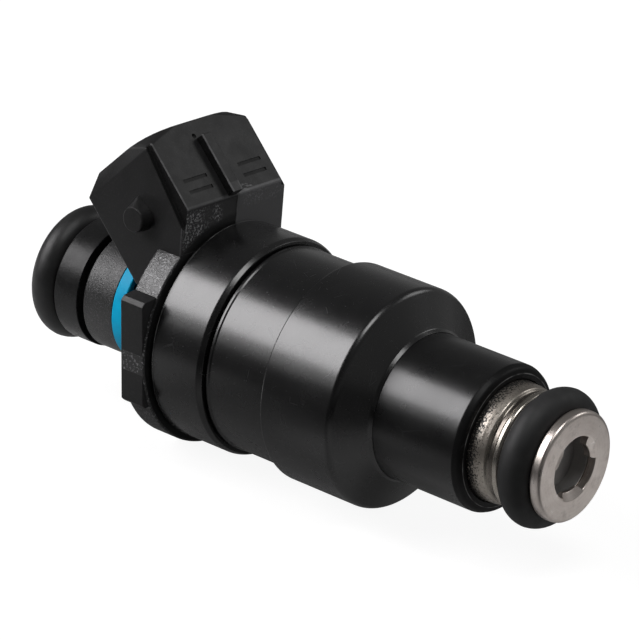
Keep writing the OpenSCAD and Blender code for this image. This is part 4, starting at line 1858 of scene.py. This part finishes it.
@dataclass
class Studio:
    """Pale floor, soft lights, white surroundings and the camera."""

    floor_z: float = -12.56
    floor_half: float = 1.6
    floor_pale: float = 0.42
    distance: float = 0.6
    middle: Way = (-0.015, 0.0, 0.0)
    lens: float = 253.125
    sensor: float = 36.0
    eye: Way = (0.2483, -0.3312, 0.1756)
    backward: Way = (0.5816, -0.7228, 0.3726)
    rightward: Way = (0.7569, 0.6488, 0.0774)

    def build(self) -> None:
        """Sets the stage."""
        self.camera()
        self.floor()
        self.world()
        self.softbox("key_box", (-0.63, -0.536, 0.563), (0.4, 0.335), 5.9, (1.0, 0.985, 1.0))
        self.softbox("key_skirt", (-0.63, -0.727, 0.272), (0.4, 0.13), 0.9)
        self.softbox("top_box", (0.27, -0.14, 0.95), (0.3, 0.22), 4.6)
        self.softbox("right_fill", (0.37, 0.74, 0.58), (0.24, 0.22), 1.75)
        bpy.context.scene.view_settings.view_transform = "Standard"

    def camera(self) -> None:
        """Long-lens camera, above and to the left of the tip."""
        data = bpy.data.cameras.new("camera")
        data.lens, data.sensor_width = self.lens, self.sensor
        data.clip_start, data.clip_end = 0.02, 20.0
        camera = bpy.data.objects.new("camera", data)
        bpy.context.scene.collection.objects.link(camera)
        back, right = Vector(self.backward).normalized(), Vector(self.rightward)
        right = (right - back * right.dot(back)).normalized()
        turn = Matrix((right, back.cross(right), back)).transposed()
        camera.matrix_world = Matrix.Translation(self.eye) @ turn.to_4x4()
        bpy.context.scene.camera = camera

    def softbox(
        self,
        name: str,
        way: Way,
        size: tuple[float, float],
        glow: float,
        colour: Colour = (1.0, 1.0, 1.0),
    ) -> None:
        """Hangs one soft light, with its width along the injector's axis.

        Args:
            name: name of the light.
            way: direction from the injector.
            size: width along the axis and height, in metres.
            glow: how bright its face is.
            colour: its colour.
        """
        data = bpy.data.lights.new(name, "AREA")
        data.shape, data.size, data.size_y = "RECTANGLE", size[0], size[1]
        data.energy, data.color = glow * math.pi * size[0] * size[1], colour
        lamp = bpy.data.objects.new(name, data)
        bpy.context.scene.collection.objects.link(lamp)
        out = Vector(way).normalized()
        along = (Vector((1, 0, 0)) - out * out.x).normalized()
        turn = Matrix((along, out.cross(along), out)).transposed()
        lamp.matrix_world = Matrix.Translation(out * self.distance + Vector(self.middle)) @ turn.to_4x4()

    def floor(self) -> None:
        """White table: it keeps a light shadow for the camera and its own shade in reflections."""
        half, z = self.floor_half, self.floor_z * MM
        corners = [(-half, -half, z), (half, -half, z), (half, half, z), (-half, half, z)]
        mesh = bpy.data.meshes.new("floor")
        mesh.from_pydata(corners, [], [(0, 1, 2, 3)])
        floor = new_object("floor", mesh)
        material = bpy.data.materials.new("white_table")
        material.use_nodes = True
        g = Graph(material.node_tree)
        g.tree.nodes.clear()
        rays = g.add("ShaderNodeLightPath").outputs
        seen = g.mix(rays["Is Camera Ray"], self.table_in_light(g, rays), self.table_in_sight(g))
        below = g.add("ShaderNodeNewGeometry").outputs["Backfacing"]
        clear = g.add("ShaderNodeBsdfTransparent").outputs[0]
        g.add("ShaderNodeOutputMaterial", {0: g.mix(below, seen, clear)})
        mesh.materials.append(material)

    def table_in_sight(self, g: Graph) -> bpy.types.NodeSocket:
        """What the camera sees of the table: white, with a quarter of the shadow left in it.

        Args:
            g: node tree of the table.

        Returns:
            The shader.
        """
        shaded = g.add("ShaderNodeBsdfDiffuse", {"Color": (0.8, 0.8, 0.8, 1.0)}).outputs[0]
        white = g.add("ShaderNodeEmission", {"Color": (1, 1, 1, 1), "Strength": 1.22}).outputs[0]
        return g.mix(0.75, shaded, white)

    def table_in_light(self, g: Graph, rays: Any) -> bpy.types.NodeSocket:
        """What the table gives back to the injector: its painted light and shade, with a painted glow in its
        reflections.

        Args:
            g: the table's node tree.
            rays: outputs of its light path.

        Returns:
            The shader.
        """
        near = self.table_shade(g)
        level = g.times(near, self.floor_pale)
        pale = g.add("ShaderNodeCombineColor", {0: level, 1: level, 2: level}).outputs[0]
        matt = g.add("ShaderNodeBsdfDiffuse", {"Color": pale}).outputs[0]
        # painted glow: the table shines a little in the injector's reflections, as much as its painted light
        glow = g.add("ShaderNodeEmission", {"Color": (1, 1, 1, 1), "Strength": near}).outputs[0]
        mirrored = g.most(rays["Is Glossy Ray"], rays["Is Transmission Ray"])
        return g.mix(g.times(mirrored, 0.1), matt, glow)

    def table_shade(self, g: Graph) -> bpy.types.NodeSocket:
        """Painted light and shade on the table: painted shade in front, behind and left of the tip, and one
        painted pool of light.

        Args:
            g: node tree of the table.

        Returns:
            A factor on the table's brightness.
        """
        place = g.add("ShaderNodeTexCoord").outputs["Object"]
        x, y, _ = g.add("ShaderNodeSeparateXYZ", {0: place}).outputs
        # painted shade in front of, behind and left of the tip, painted light towards both ends
        front = g.span(y, -0.06, -0.024, 0.1, 1.0)
        rear = g.span(y, 0.026, 0.045, 1.0, 0.3)
        inlet_end = g.span(x, -0.055, -0.036, 1.5, 0.45)
        tip_end = g.span(x, -0.012, 0.02, 0.0, 1.05)
        left_of_tip = g.times(g.span(x, 0.004, 0.026, 0.0, 0.85), g.span(y, -0.006, 0.012, 1.0, 0.0))
        along = g.times(g.calc("SUBTRACT", 1.0, left_of_tip), g.plus(inlet_end, tip_end))
        ends = {0: place, 1: (-0.015, -0.023, 0.0)}
        aside = g.add("ShaderNodeVectorMath", ends, operation="DISTANCE").outputs["Value"]
        # painted pool of light beside the tip
        pool = g.span(aside, 0.004, 0.016, 1.3, 0.0)
        return g.plus(pool, g.times(along, g.times(front, rear)))

    def world(self) -> None:
        """White to the camera; for light and reflections a dim room, darker in front and overhead."""
        world = bpy.data.worlds.new("room")
        world.use_nodes = True
        bpy.context.scene.world = world
        g = Graph(world.node_tree)
        g.tree.nodes.clear()
        way = g.add("ShaderNodeTexCoord").outputs["Generated"]
        x, y, z = g.add("ShaderNodeSeparateXYZ", {0: way}).outputs
        behind = g.span(y, -0.7, 0.6, 0.05, 0.2)
        overhead = g.span(z, 0.05, 0.4, 1.0, 0.52)
        ahead = g.span(x, 0.2, 0.8, 0.0, 0.07)
        room = g.plus(ahead, g.times(behind, overhead))
        ray = g.add("ShaderNodeLightPath").outputs["Is Camera Ray"]
        strength = g.add("ShaderNodeMix", {0: ray, 2: room, 3: 1.0}, data_type="FLOAT").outputs[0]
        back = g.add("ShaderNodeBackground", {"Color": (1, 1, 1, 1), "Strength": strength}).outputs[0]
        g.add("ShaderNodeOutputWorld", {0: back})


def main() -> None:
    """Builds the injector's looks in order."""
    logging.basicConfig(level=logging.INFO, format="%(name)s: %(message)s")
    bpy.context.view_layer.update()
    Studio().build()
    palette = Palette()
    for part in (Nozzle(), Housings(), Head(), Inlet(), Works()):
        part.build(palette)
        LOG.info("%s done", type(part).__name__)


if __name__ == "__main__":
    main()
